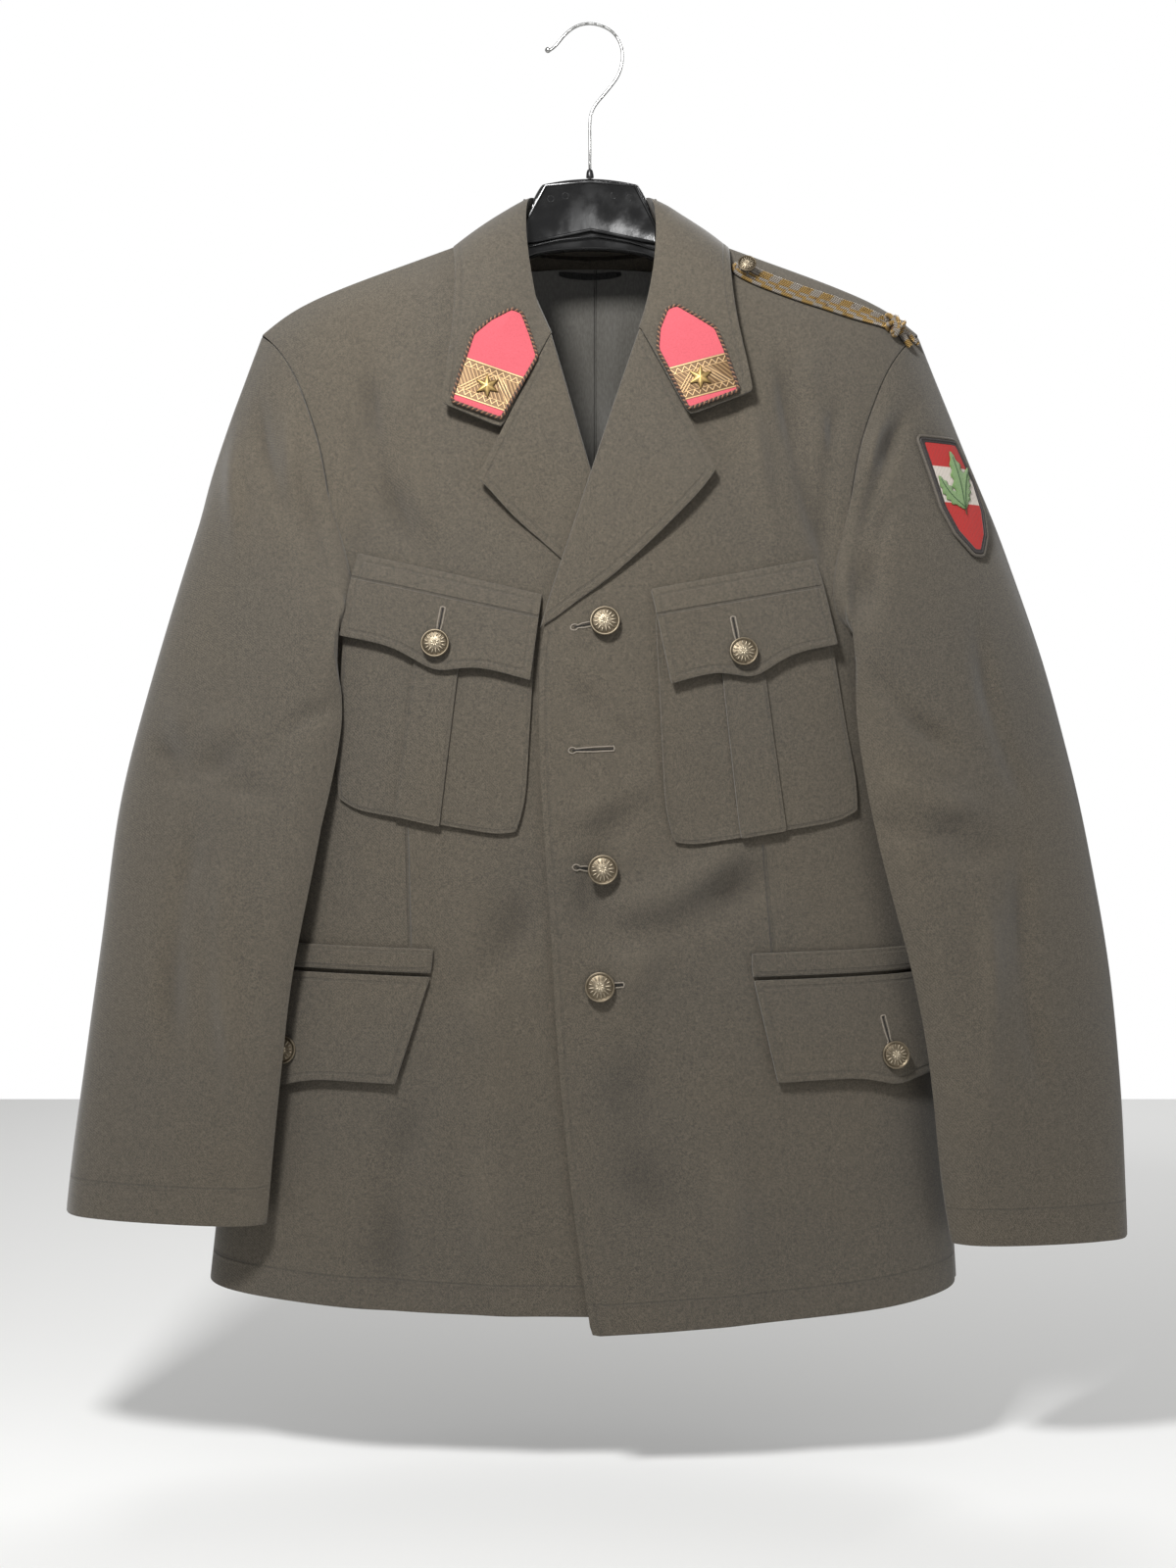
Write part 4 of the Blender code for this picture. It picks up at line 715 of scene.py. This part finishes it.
def modelButton(radius, shank):
    bpy.ops.mesh.primitive_cylinder_add(vertices=48, radius=radius * 0.93, depth=0.0014,
                                        location=(0, 0, 0.0029))
    disc = bpy.context.object
    editAll(disc, "FACE")
    bpy.ops.mesh.select_all(action="DESELECT")
    pickOnly(disc)
    for face in disc.data.polygons:
        face.select = face.normal.z > 0.9
    bpy.ops.object.mode_set(mode="EDIT")
    for inset, rise in ((0.06, 0.0004), (0.09, -0.0006), (0.16, 0.0006), (0.2, 0.0005), (0.22, 0.0003)):
        bpy.ops.mesh.inset(thickness=inset * radius)
        bpy.ops.transform.translate(value=(0, 0, rise))
    bpy.ops.mesh.poke()
    pickOnly(disc)
    bpy.ops.mesh.primitive_torus_add(major_radius=radius * 0.93, minor_radius=radius * 0.075,
                                     major_segments=48, minor_segments=10, location=(0, 0, 0.0034))
    parts = [disc, bpy.context.object]
    for turn, long, wide, thick, away, rise in rosette():
        place = Matrix.Rotation(2 * pi * turn, 4, "Z") @ Matrix.Translation((radius * away, 0, rise))
        parts.append(ball(8, 6, (radius * long, radius * wide, thick), place))
    parts.append(ball(12, 8, [radius * 0.09] * 3, Matrix.Translation((0, 0, 0.0048))))
    bpy.ops.mesh.primitive_cylinder_add(vertices=16, radius=radius * 0.22, depth=0.0026 + shank,
                                        location=(0, 0, 0.0011 - shank / 2))
    parts.append(bpy.context.object)
    for part in parts:
        pickOnly(part)
        bpy.ops.object.transform_apply(location=True, rotation=True, scale=True)
    pickOnly(*parts)
    bpy.ops.object.join()
    button = bpy.context.object
    bpy.ops.object.shade_smooth_by_angle(angle=radians(40))
    # the ground under the ornament is a low dome
    ground = lambda co: 0.0036 + 0.0006 * (1 - min(1.0, hypot(co.x, co.y) / radius) ** 2)
    markHollows(button, lambda co: (co.z - ground(co)) / 0.001)
    return button


silverGilt = agedMetal("aged_button_metal", buttonLook["metal"], buttonLook["worn"])
for node in [n for n in nodes if n.startswith("button_")]:
    solid = nodes[node].data
    middle = sum((v.co for v in solid.vertices), Vector()) / len(solid.vertices)
    # the axis is the mean facing of the crown, and the foot lies lowest along it
    far = max(solid.vertices, key=lambda v: (v.co - middle).dot(Vector((0, -1, 0.25)))).co
    radius = {"front": 0.0102, "shoulder": 0.0065}.get(node.split("_")[1], 0.0097)
    crown = (face.normal * face.area for face in solid.polygons if face.normal.dot(far - middle) > 0)
    axis = sum(crown, Vector()).normalized()
    foot = middle + axis * min((v.co - middle).dot(axis) for v in solid.vertices)
    button = modelButton(radius, 0.004 if "shoulder" in node else 0.0)
    setInPlace(button, foot, axis, turn=0.4 * len(node))
    joined(node.replace("button", "metal_button"), [button], silverGilt, [node])
print("jacket: buttons")

# collar patches: pink felt with a woven gold lace band, a star and a twisted cord round the edge
def rimOf(node):
    # the outer edge of a thin solid's front, as one closed line of spots with the cloth's facing at each
    flat = copyOf(node, "rim_" + node)
    pickOnly(flat)
    work = bmesh.new()
    work.from_mesh(flat.data)
    bpy.data.objects.remove(flat)
    facing = sum((face.normal * face.calc_area() for face in work.faces if face.normal.y < -0.2), Vector())
    seed = max(work.faces, key=lambda face: face.normal.dot(facing))
    sheet, fresh = {seed}, [seed]
    while fresh:
        face = fresh.pop()
        for edge in face.edges:
            for other in edge.link_faces:
                if other not in sheet and other.normal.dot(face.normal) > 0.75:
                    sheet.add(other)
                    fresh.append(other)
    near = {}
    for edge in work.edges:
        if sum(face in sheet for face in edge.link_faces) == 1:
            for one, two in (edge.verts, reversed(edge.verts)):
                near.setdefault(one, []).append(two)
    start = min(near, key=lambda vertex: vertex.co.z)
    loop, here = [start], near[start][0]
    while here != start:
        ahead = [vertex for vertex in near[here] if vertex != loop[-1]]
        loop.append(here)
        here = ahead[0]
    line = []
    for vertex in loop:
        around = sum((face.normal for face in vertex.link_faces if face in sheet), Vector())
        line.append((vertex.co.copy(), around.normalized()))
    work.free()
    return line


def facingAt(rim, spot):
    return min(rim, key=lambda one: (one[0] - spot).length)[1]


def sideOf(line, k, facing):
    # across a closed line, in the cloth
    run = (line[(k + 1) % len(line)] - line[k - 1]).normalized()
    return run.cross(facing).normalized()


def edgeLine(rim, out, lift, step, rounds):
    # a closed line round a patch, moved outwards and off the cloth, with the facing at each stop
    middle = sum((spot for spot, _ in rim), Vector()) / len(rim)
    line = softened(evenly([spot for spot, _ in rim], 0.001, True), rounds, True)
    moved = []
    for k, spot in enumerate(line):
        facing = facingAt(rim, spot)
        side = sideOf(line, k, facing)
        if side.dot(spot - middle) < 0:
            side = -side
        moved.append(spot + side * out + facing * lift)
    moved = evenly(moved, step, True)
    return moved, [facingAt(rim, spot) for spot in moved]


def laidCord(name, line, facings, thick, pitch, looks):
    # two strands laid round each other along a closed line
    length = sum((a - b).length for a, b in zip(line, line[1:] + line[:1]))
    turns = round(length / pitch)
    for order, look in enumerate(looks):
        strand = []
        for k, spot in enumerate(line):
            angle = 2 * pi * turns * k / len(line) + pi * order
            side = sideOf(line, k, facings[k])
            strand.append(spot + (side * cos(angle) + facings[k] * sin(angle)) * thick * 0.48)
        cordPiece(name + "_%d" % order, strand, thick * 0.56, look, closed=True, sides=1)


def threadLook(name, light, dark, metallic=0.0, rough=0.6):
    thread = Recipe(name, rough, metallic=metallic, sheen=0.1)
    fibre = thread.noise(2600.0)
    return thread.finish(thread.blend(thread.ramp(fibre, 0.35, 0.65), dark, light), fibre, 0.0002)


patchLook = {
    "pink": (0.57, 0.088, 0.112), "lace": (0.51, 0.325, 0.152), "laceDark": (0.11, 0.058, 0.02),
    "cordThick": 0.0013, "cordPitch": 0.0034,
    "right": {"top": (seen(477, 364.5, -0.072), seen(536, 385, -0.072)), "deep": 0.0275},
    "left": {"top": (seen(680, 375.5, -0.072), seen(739, 359.5, -0.072)), "deep": 0.0255},
}


def laceFelt(name, plan):
    felt = Recipe(name, 0.85, sheen=0.3)
    x0, z0 = plan["top"][0]
    length, ux, uz = heading(*plan["top"])
    across = (felt.x - x0) * ux + (felt.z - z0) * uz
    down = (felt.x - x0) * uz - (felt.z - z0) * ux
    deep = plan["deep"]
    band = felt.between(down, 0.0, deep, 0.0004)
    edge = felt.line(down, 0.0008, 0.0008) + felt.line(down, deep - 0.0008, 0.0008)
    small = felt.zigzag(across, 0.0048) * 0.0032
    upper = felt.line(down - small, 0.0022, 0.0009)
    lower = felt.line(down + small, deep - 0.0022, 0.0009)
    centre = abs(across - length * 0.52)
    big = down - centre * 1.05
    inner = felt.between(down, 0.0058, deep - 0.0058, 0.0004)
    chevron = sum(felt.line(big, at, 0.0011) for at in (0.0002, 0.003, 0.0058)) * inner
    hatch = felt.ramp(felt.wave(across * 0.8 - down * 0.6, 0.0024), -0.4, 0.8) * 0.45 * inner
    rail = (felt.line(down, 0.0058, 0.0005) + felt.line(down, deep - 0.0058, 0.0005)) * 0.8
    relief = felt.ramp(edge + upper + lower + chevron + rail, 0.0, 1.0)
    gold = felt.blend(felt.ramp(relief + hatch, 0.05, 0.95), patchLook["laceDark"], patchLook["lace"])
    nap = felt.noise(1400.0)
    pink = felt.blend(felt.ramp(nap, 0.3, 0.7), tuple(0.82 * c for c in patchLook["pink"]), patchLook["pink"])
    colour = felt.blend(band, pink, gold)
    height = band * 0.9 + band * (relief * 0.9 + hatch * 0.5) + nap * 0.05
    return felt.finish(colour, height, 0.0007, felt.ramp(band, 0, 1, 0.88, 0.4), band * 0.45)


starGold = agedMetal("gilt_star", (0.6, 0.42, 0.17), (0.1, 0.055, 0.02))
darkThread = threadLook("dark_edge_thread", (0.05, 0.03, 0.022), (0.012, 0.008, 0.007))
goldThread = threadLook("gold_edge_thread", (0.33, 0.18, 0.105), (0.16, 0.075, 0.04), 0.3, 0.45)
for word in ("left", "right"):
    felt = laceFelt("lace_felt_" + word, patchLook[word])
    dress("collar_patch_" + word, "felt_patch_" + word, 2, felt, hold=1.0, sharp=18)
    rim = rimOf("collar_patch_" + word)
    thick, pitch = patchLook["cordThick"], patchLook["cordPitch"]
    line, facings = edgeLine(rim, 0.001, -0.0001, pitch / 9, 3)
    laidCord("edging_" + word, line, facings, thick, pitch, (darkThread, goldThread))
    star = copyOf("collar_star_" + word, "gilt_star_" + word)
    softEdges(star, 0.00035, 20)
    facing = rim[0][1]
    base = min((v.co.dot(facing) for v in star.data.vertices))
    markHollows(star, lambda co: (co.dot(facing) - base) / 0.0016)
    joined("star_" + word, [star], starGold, ["collar_star_" + word])
print("jacket: collar patches")

# shoulder cord: three cords doubled round the button, a knot and cut ends
cordLook = {
    "run": ((757, 278), (772, 286.5), (796, 296), (820, 304.5), (856, 315.5), (898, 328), (910, 332)),
    "thick": 0.0014, "rows": (0.0014, 0.004, 0.0065), "dash": 0.015,
    "gold": (0.43, 0.265, 0.075), "grey": (0.4, 0.355, 0.3), "brown": (0.07, 0.036, 0.014),
    "tails": (
        # stops, offset, radius
        (((917, 333), (927, 339), (938, 348)), 0.0014, 0.0017),
        (((916, 334), (926, 341), (935, 350)), -0.0018, 0.0017),
        (((914, 336), (920, 344), (927, 354)), 0.0, 0.0023),
    ),
}


def metalThread(name, length, shift):
    thread = Recipe(name, 0.42, metallic=0.4, sheen=0.1)
    along, around, _ = thread.parts(thread.node("ShaderNodeUVMap", {"uv_map": "UVMap"}, {}))
    dash = thread.zigzag(along * length + shift, cordLook["dash"])
    plait = thread.zigzag(along * (length / 0.0015) + around * 3, 1.0)
    colour = thread.blend(thread.ramp(dash, 0.42, 0.5), cordLook["grey"], cordLook["gold"])
    worn = thread.noise(300, 3.0)
    colour = thread.blend(thread.ramp(worn, 0.56, 0.74) * 0.7, colour, cordLook["brown"])
    # painted shade in the grooves between the plait's twists
    colour = thread.blend(thread.ramp(plait, 0.05, 0.45, 0.55, 0.0), colour, cordLook["brown"])
    return thread.finish(colour, plait, 0.001)


shoulderTree = surfaceOf(panels["front_left"], panels["sleeve_left_top"])


def hug(spot, lift):
    # the spot's nearest place on the shoulder, off the cloth by lift
    foot, facing, _, _ = shoulderTree.find_nearest(spot)
    if facing.y > 0:
        facing = -facing
    return foot + facing * lift, facing


middle = [landOn(shoulderTree, *seen(px, py, -0.026)) for px, py in cordLook["run"]]
middle = softened(evenly(middle, 0.003), 4)
for order, out in enumerate(cordLook["rows"]):
    legs = []
    for side in (1, -1):
        leg = []
        for k, spot in enumerate(middle):
            run = (middle[min(k + 1, len(middle) - 1)] - middle[max(k - 1, 0)]).normalized()
            facing = hug(spot, 0.0)[1]
            across = run.cross(facing).normalized()
            share = k / (len(middle) - 1)
            pinch = 1.0 - 0.42 * ease(share, 0.72, 1.0) + 0.1 * (1 - ease(share, 0.0, 0.25))
            leg.append(hug(spot + across * side * out * pinch, 0.0021)[0])
        legs.append(leg)
    a, b = legs[0][0], legs[1][0]
    back = (middle[0] - middle[1]).normalized()
    turn = []
    for k in range(1, 10):
        angle = pi * k / 10
        bend = (a + b) / 2 + (a - b) / 2 * cos(angle) + back * (a - b).length / 2 * sin(angle)
        turn.append(hug(bend, 0.0021)[0])
    strand = evenly(softened(legs[0][::-1] + turn + legs[1], 2), 0.0015)
    length = sum((p - q).length for p, q in zip(strand, strand[1:]))
    thread = metalThread("metal_thread_%d" % order, length, 0.005 * order)
    cordPiece("shoulder_strand_%d" % order, strand, cordLook["thick"], thread,
              replaced=["shoulder_cord"])
knotSpots = [vertex.co for vertex in nodes["shoulder_knot"].data.vertices]
knotMiddle = sum(knotSpots, Vector()) / len(knotSpots)
foot, facing = hug(knotMiddle, 0.0)
run = (middle[-1] - middle[-4]).normalized()
across = run.cross(facing).normalized()
run = facing.cross(across).normalized()
knotMiddle = foot + facing * 0.0052
wraps = (
    # lean, reach along the cord, half width, half height
    (0.55, -0.003, 0.0074, 0.004), (-0.55, 0.0026, 0.0072, 0.004),
    (0.1, -0.0002, 0.0084, 0.0042), (-1.2, 0.0004, 0.0066, 0.0046),
)
for order, (lean, reach, wide, high) in enumerate(wraps):
    wrap = []
    for k in range(32):
        angle = 2 * pi * k / 32
        flat = across * (cos(angle) * wide * cos(lean)) + facing * (sin(angle) * high)
        ahead = sin(lean) * cos(angle) * wide + reach * (1 + 0.3 * sin(angle))
        wrap.append(knotMiddle + flat + run * ahead)
    thread = metalThread("knot_thread_%d" % order, 0.04, 0.003 * order)
    cordPiece("knot_wrap_%d" % order, wrap, 0.0017, thread, closed=True,
              replaced=["shoulder_knot"])
place = Matrix.Translation(knotMiddle) @ Matrix((across, run, facing)).transposed().to_4x4()
core = ball(16, 10, (0.0056, 0.004, 0.0036), place)
coreThread = threadLook("knot_core_thread", (0.16, 0.09, 0.04), (0.06, 0.03, 0.014))
joined("knot_core", [core], coreThread)
for order, (stops, offset, thick) in enumerate(cordLook["tails"]):
    tail = [landOn(shoulderTree, *seen(px, py, -0.024)) for px, py in stops]
    tail = [hug(spot + across * offset, thick + 0.0004)[0] for spot in tail]
    tail[0] = knotMiddle + (tail[0] - knotMiddle) * 0.5
    tail = evenly(softened(evenly(tail, 0.001), 4), 0.001)
    thread = metalThread("tail_thread_%d" % order, 0.02, 0.006 * order)
    cordPiece("cord_tail_%d" % order, tail, thick, thread)
print("jacket: shoulder cord")

# sleeve badge: a banded shield with a leaf sprig, a dark woven border and a cloth backing edge
badgeLook = {
    "red": (0.43, 0.012, 0.009), "white": (0.59, 0.53, 0.47), "border": (0.016, 0.01, 0.009),
    "wide": 0.0024, "leaf": (0.2, 0.36, 0.105), "vein": (0.03, 0.085, 0.025),
    "split": (seen(976, 475.5, -0.035)[1], seen(986, 513, -0.035)[1]),
    "leaves": (
        # foot and tip on the front view, half width, sideways bow
        (985, 519, 971, 459, 0.0056, 0.0016), (984, 516, 957, 486, 0.0044, -0.002),
        (986, 516, 991, 474, 0.0042, -0.0012),
    ),
}
badge = Recipe("woven_badge", 0.55, sheen=0.1)
rib = badge.wave(badge.x + badge.z * 0.15, 0.0011)
upper, lower = (badge.ramp(badge.z, at - 0.0003, at + 0.0003) for at in badgeLook["split"])
rimWay = badge.attribute("edgeWay")
border = badge.ramp(rimWay, badgeLook["wide"] - 0.0003, badgeLook["wide"] + 0.0002, 1.0, 0.0)
colour = badge.blend(lower, badgeLook["red"], badgeLook["white"])
colour = badge.blend(upper, colour, badgeLook["red"])
colour = badge.blend(badge.ramp(rib, -1, 1) * 0.1, colour, (0.1, 0.05, 0.04))
colour = badge.blend(border, colour, badgeLook["border"])
weave = badge.finish(colour, rib * 0.15 + border, 0.0006)
shield = dress("sleeve_badge", "woven_shield", 3, weave, sleeveShift(1), hold=1.0, sharp=18)
markEdge(shield, "edgeWay", wholeRim)
rim = [(spot + sleeveShift(1)(spot), facing) for spot, facing in rimOf("sleeve_badge")]
backing = threadLook("backing_edge_thread", (0.12, 0.102, 0.08), (0.056, 0.047, 0.036))
borderThread = threadLook("border_thread", (0.045, 0.036, 0.032), (0.01, 0.008, 0.008))
for name, out, lift, thick, look in (("shield_backing", 0.0022, -0.0007, 0.0012, backing),
                                     ("shield_border", 0.0001, -0.0003, 0.0009, borderThread)):
    cordPiece(name, edgeLine(rim, out, lift, 0.0016, 1)[0], thick, look, closed=True)
shieldTree = surfaceOf(shield)
leafCloth = Recipe("sewn_leaf", 0.6, sheen=0.2)
satin = leafCloth.wave(leafCloth.x * 0.6 + leafCloth.z, 0.0008)
green = leafCloth.blend(leafCloth.ramp(satin, -1, 1) * 0.25, badgeLook["leaf"], badgeLook["vein"])
leafPaint = leafCloth.finish(green, satin, 0.0002)
veinPaint = threadLook("sewn_vein", badgeLook["vein"], (0.016, 0.045, 0.014))
leaves, veins = [], []
for px, py, qx, qy, half, bow in badgeLook["leaves"]:
    long, at = track(seen(px, py, -0.035), seen(qx, qy, -0.035))
    bpy.ops.mesh.primitive_grid_add(x_subdivisions=6, y_subdivisions=28, size=1.0)
    leaf = bpy.context.object
    for vertex in leaf.data.vertices:
        share = vertex.co.y + 0.5
        lobes = 1 + 0.22 * sin(share * 34 + (0.8 if vertex.co.x > 0 else 0.0))
        wide = half * 2 * vertex.co.x * max(0.03, sin(pi * share ** 0.75)) ** 0.7 * lobes
        wide += bow * sin(pi * share)
        lift = 0.0007 + 0.0004 * (1 - abs(2 * vertex.co.x))
        vertex.co = landOn(shieldTree, *at(share * long, -wide), lift)
    pickOnly(leaf)
    bpy.ops.object.shade_smooth()
    leaves.append(leaf)
    vein = []
    for share in (-0.1, 0.05, 0.2, 0.35, 0.5, 0.65, 0.8, 0.9):
        wide = bow * sin(pi * max(0.0, share))
        vein.append(landOn(shieldTree, *at(share * long, -wide), 0.0012))
    veins.append(cordPiece("vein_%d" % len(veins), vein, 0.0003, veinPaint, sides=1))
sprig = joined("leaf_sprig", leaves, leafPaint)
pickOnly(sprig)
thick = sprig.modifiers.new("thick", "SOLIDIFY")
thick.thickness = 0.0003
bpy.ops.object.modifier_apply(modifier=thick.name)
joined("leaf_veins", veins, veinPaint)
print("jacket: sleeve badge")

# worked buttonholes: an eyelet and a slit edged with thread, with a dark cord in the slit as painted shade in
# the cut
holeLook = {
    "thick": 0.00055, "slit": 0.00048, "eye": 0.0026, "gap": 0.0016,
    "places": {
        # eyelet end, far end, depth
        "top": (586, 640.5, 606, 636.5, -0.085), "open": (584, 766, 626, 764, -0.085),
        "waist": (588, 885, 604, 887, -0.085), "low": (618, 1006, 636, 1004, -0.085),
        "chest_right": (446, 652, 452, 620, -0.085), "chest_left": (754, 662, 747.5, 630, -0.085),
        "hip_left": (909, 1066, 901, 1037, -0.06),
    },
}
holeTree = surfaceOf(panels["front_left"], panels["front_right"], *[panels[k] for k in panels if "flap" in k])
holeThread = threadLook("buttonhole_thread", (0.29, 0.25, 0.2), (0.14, 0.12, 0.095), 0.0, 0.8)
# painted shade for the cut of the slit
slitShade = threadLook("buttonhole_slit", (0.016, 0.014, 0.012), (0.006, 0.005, 0.005), 0.0, 0.9)
for name, (px, py, qx, qy, depth) in holeLook["places"].items():
    long, at = track(seen(px, py, depth), seen(qx, qy, depth))
    eye, gap = holeLook["eye"], holeLook["gap"]
    outline = []
    for k in range(13):
        angle = radians(28 + 304 * k / 12)
        outline.append((cos(angle) * eye, sin(angle) * eye * 0.8))
    outline += [(long * 0.5, -gap), (long, -gap), (long + 0.0006, 0.0), (long, gap), (long * 0.5, gap)]
    ring = evenly([landOn(holeTree, *at(a, b), 0.0002) for a, b in outline], 0.0008, True)
    cordPiece("hole_thread_" + name, ring, holeLook["thick"], holeThread, closed=True, sides=1)
    # a dark cord along the slit, painted shade in the cut
    slit = [landOn(holeTree, *at(a)) for a in (0.0, long * 0.33, long * 0.66, long)]
    cordPiece("hole_slit_" + name, evenly(slit, 0.001), holeLook["slit"], slitShade, sides=1)
print("jacket: buttonholes")

# hanger: moulded black body with a framed front plate, ferrule and bright wire hook
hangerLook = {
    "plate": ((556, 188.5), (602, 184.5), (649, 188.5), (671, 232), (671, 250), (603, 236), (535, 250),
              (536, 226)),
    "face": -0.0058, "thick": 0.0011, "frame": 0.0016, "sunk": 0.0009, "black": (0.005, 0.005, 0.0052),
    "marks": ((562, 203), (577, 200), (626, 200), (642, 202)), "markWide": 0.0022,
    "rib": ((537, 252.5), (570, 245), (608, 241), (640, 246), (670, 255)),
}


def mouldedPlastic(name, rough=0.22):
    plastic = Recipe(name, rough)
    smear = plastic.noise(60.0, 3.0)
    fleck = plastic.noise(800)
    colour = plastic.blend(plastic.ramp(fleck, 0.6, 0.75) * 0.3, hangerLook["black"], (0.03, 0.03, 0.03))
    shine = plastic.ramp(smear, 0.3, 0.7, rough - 0.06, rough + 0.14)
    return plastic.finish(colour, smear * 0.5 + fleck * 0.04, 0.0004, shine)


def onPlate(px, py, off=0.0):
    # a spot of the front plate's back face, or off it
    x, z = seen(px, py, hangerLook["face"])
    return Vector((x, hangerLook["face"] + off, z))


black = mouldedPlastic("black_plastic")
body = copyOf("hanger_body", "hanger_moulding")
roundOff(body, 2, 0.55, 30)
joined("hanger_moulding", [body], black, ["hanger_body"])
bpy.ops.mesh.primitive_circle_add(vertices=len(hangerLook["plate"]), radius=0.05, fill_type="NGON")
plate = bpy.context.object
for vertex, (px, py) in zip(plate.data.vertices, hangerLook["plate"]):
    vertex.co = onPlate(px, py)
editAll(plate, "FACE")
bpy.ops.mesh.normals_make_consistent(inside=False)
bpy.ops.mesh.extrude_region_move(TRANSFORM_OT_translate={"value": (0, -hangerLook["thick"], 0)})
bpy.ops.mesh.inset(thickness=hangerLook["frame"])
bpy.ops.mesh.inset(thickness=0.0004)
bpy.ops.transform.translate(value=(0, hangerLook["sunk"], 0))
bpy.ops.mesh.select_all(action="SELECT")
bpy.ops.mesh.normals_make_consistent(inside=False)
softEdges(plate, 0.0003, 30)
joined("hanger_plate", [plate], mouldedPlastic("glossy_plate", 0.18))
marks = []
for px, py in hangerLook["marks"]:
    bpy.ops.mesh.primitive_torus_add(major_radius=hangerLook["markWide"], minor_radius=0.00022,
                                     major_segments=24, minor_segments=6)
    spot = onPlate(px, py, hangerLook["sunk"] - hangerLook["thick"])
    setInPlace(bpy.context.object, spot, Vector((0, -1, 0)))
    marks.append(bpy.context.object)
joined("hanger_marks", marks, black)
rib = [onPlate(px, py, -0.0002) for px, py in hangerLook["rib"]]
cordPiece("hanger_rib", evenly(softened(evenly(rib, 0.002), 4), 0.002), 0.0007, black)
ferrule = copyOf("hanger_ferrule", "ferrule")
roundOff(ferrule, 2, 0.8, 30)
joined("ferrule", [ferrule], mouldedPlastic("ferrule_plastic", 0.3), ["hanger_ferrule"])
steel = Recipe("bright_wire", 0.16, metallic=1.0)
drawn = steel.noise(500, 3.0, (1, 1, 0.1))
wire = steel.blend(steel.ramp(drawn, 0.3, 0.7), (0.4, 0.4, 0.39), (0.62, 0.62, 0.61))
steelPaint = steel.finish(wire, drawn, 0.00008, steel.ramp(drawn, 0.3, 0.7, 0.14, 0.28))
hook = copyOf("hanger_hook", "wire_hook")
roundOff(hook, 2, 0.6, 60)
left = min((v.co for v in nodes["hanger_hook"].data.vertices), key=lambda co: co.x)
tip = ball(20, 12, [0.0021] * 3, Matrix.Translation((left.x + 0.0006, 0.0, left.z)))
pickOnly(tip)
bpy.ops.object.shade_smooth()
joined("wire_hook", [hook, tip], steelPaint, ["hanger_hook"])
print("jacket: hanger")

# what each panel hangs from or lies on, then width, length and area of its cut, left and right
cuts = (
    ("front_*", "hanger_body", (0.31, 0.78, 0.202), (0.32, 0.765, 0.2065)),
    ("back_*", "hanger_body", (0.272, 0.752, 0.175), (0.272, 0.752, 0.175)),
    ("sleeve_*_top", "hanger_body", (0.256, 0.655, 0.145), (0.252, 0.64, 0.1425)),
    ("sleeve_*_under", "cloth_sleeve_*_top", (0.118, 0.56, 0.056), (0.119, 0.545, 0.0548)),
    ("collar", "hanger_body", (0.47, 0.115, 0.0402)),
    ("lining", "cloth_back_left", (0.3, 0.315, 0.0873)),
    ("lapel_*", "cloth_front_*", (0.078, 0.215, 0.0109), (0.072, 0.215, 0.0094)),
    ("flap_chest_*", "cloth_front_*", (0.131, 0.076, 0.008), (0.139, 0.076, 0.0084)),
    ("flap_hip_*", "cloth_front_*", (0.18, 0.078, 0.0134), (0.188, 0.08, 0.0142)),
    ("pocket_chest_*", "cloth_front_*", (0.14, 0.176, 0.0206), (0.138, 0.172, 0.0202)),
    ("pleat_chest_*", "cloth_front_*", (0.036, 0.134, 0.0042), (0.036, 0.128, 0.0041)),
    ("welt_hip_*", "cloth_front_*", (0.18, 0.02, 0.0032), (0.185, 0.02, 0.0033)),
)
for name, below, *sizes in cuts:
    for word, (width, length, area) in zip(("left", "right"), sizes):
        panel, under = panels[name.replace("*", word)], below.replace("*", word)

# camera, floor and light
view = {"at": (-0.0014, -1.6, -0.5417), "lens": 51.43, "frameLong": 36.0}
bpy.ops.object.camera_add(location=view["at"], rotation=(radians(90), 0, 0))
camera = bpy.context.object
camera.name = "front_camera"
camera.data.lens = view["lens"]
camera.data.sensor_fit = "VERTICAL"
camera.data.sensor_height = view["frameLong"]
camera.data.dof.use_dof = False
scene.camera = camera

bpy.ops.mesh.primitive_plane_add(size=3.6, location=(0, 0, -1.02))
floor = bpy.context.object
floor.name = "pale_floor"
pale = Recipe("pale_paint", 0.85)
floor.data.materials.append(pale.finish((0.86, 0.86, 0.85, 1.0)))

scene.view_settings.view_transform = "Standard"
world = bpy.data.worlds.new("studio_air")
scene.world = world
world.use_nodes = True
air = world.node_tree.nodes["Background"]
air.inputs["Color"].default_value = (1.0, 1.0, 1.0, 1.0)
# white behind the jacket, and a dimmer even light on it
ray = world.node_tree.nodes.new("ShaderNodeLightPath")
level = world.node_tree.nodes.new("ShaderNodeMapRange")
level.inputs["To Min"].default_value = 0.38
level.inputs["To Max"].default_value = 1.0
world.node_tree.links.new(ray.outputs["Is Camera Ray"], level.inputs["Value"])
world.node_tree.links.new(level.outputs["Result"], air.inputs["Strength"])

lamps = {
    "key": {"at": (-0.34, -1.00, 0.42), "aim": (0, 0, -0.32), "size": 0.26, "power": 23},
    "fill": {"at": (1.7, -1.4, 0.2), "aim": (0, 0, -0.55), "size": 1.6, "power": 5},
    "rear": {"at": (0.6, 2.0, 1.0), "aim": (0, 0, -0.5), "size": 1.4, "power": 24},
}
for name, lamp in lamps.items():
    bpy.ops.object.light_add(type="AREA", location=lamp["at"])
    light = bpy.context.object
    light.name = "lamp_" + name
    light.data.shape = "DISK"
    light.data.size = lamp["size"]
    light.data.energy = lamp["power"]
    light.rotation_euler = (Vector(lamp["aim"]) - Vector(lamp["at"])).to_track_quat("-Z", "Y").to_euler()
print("jacket: camera and light")
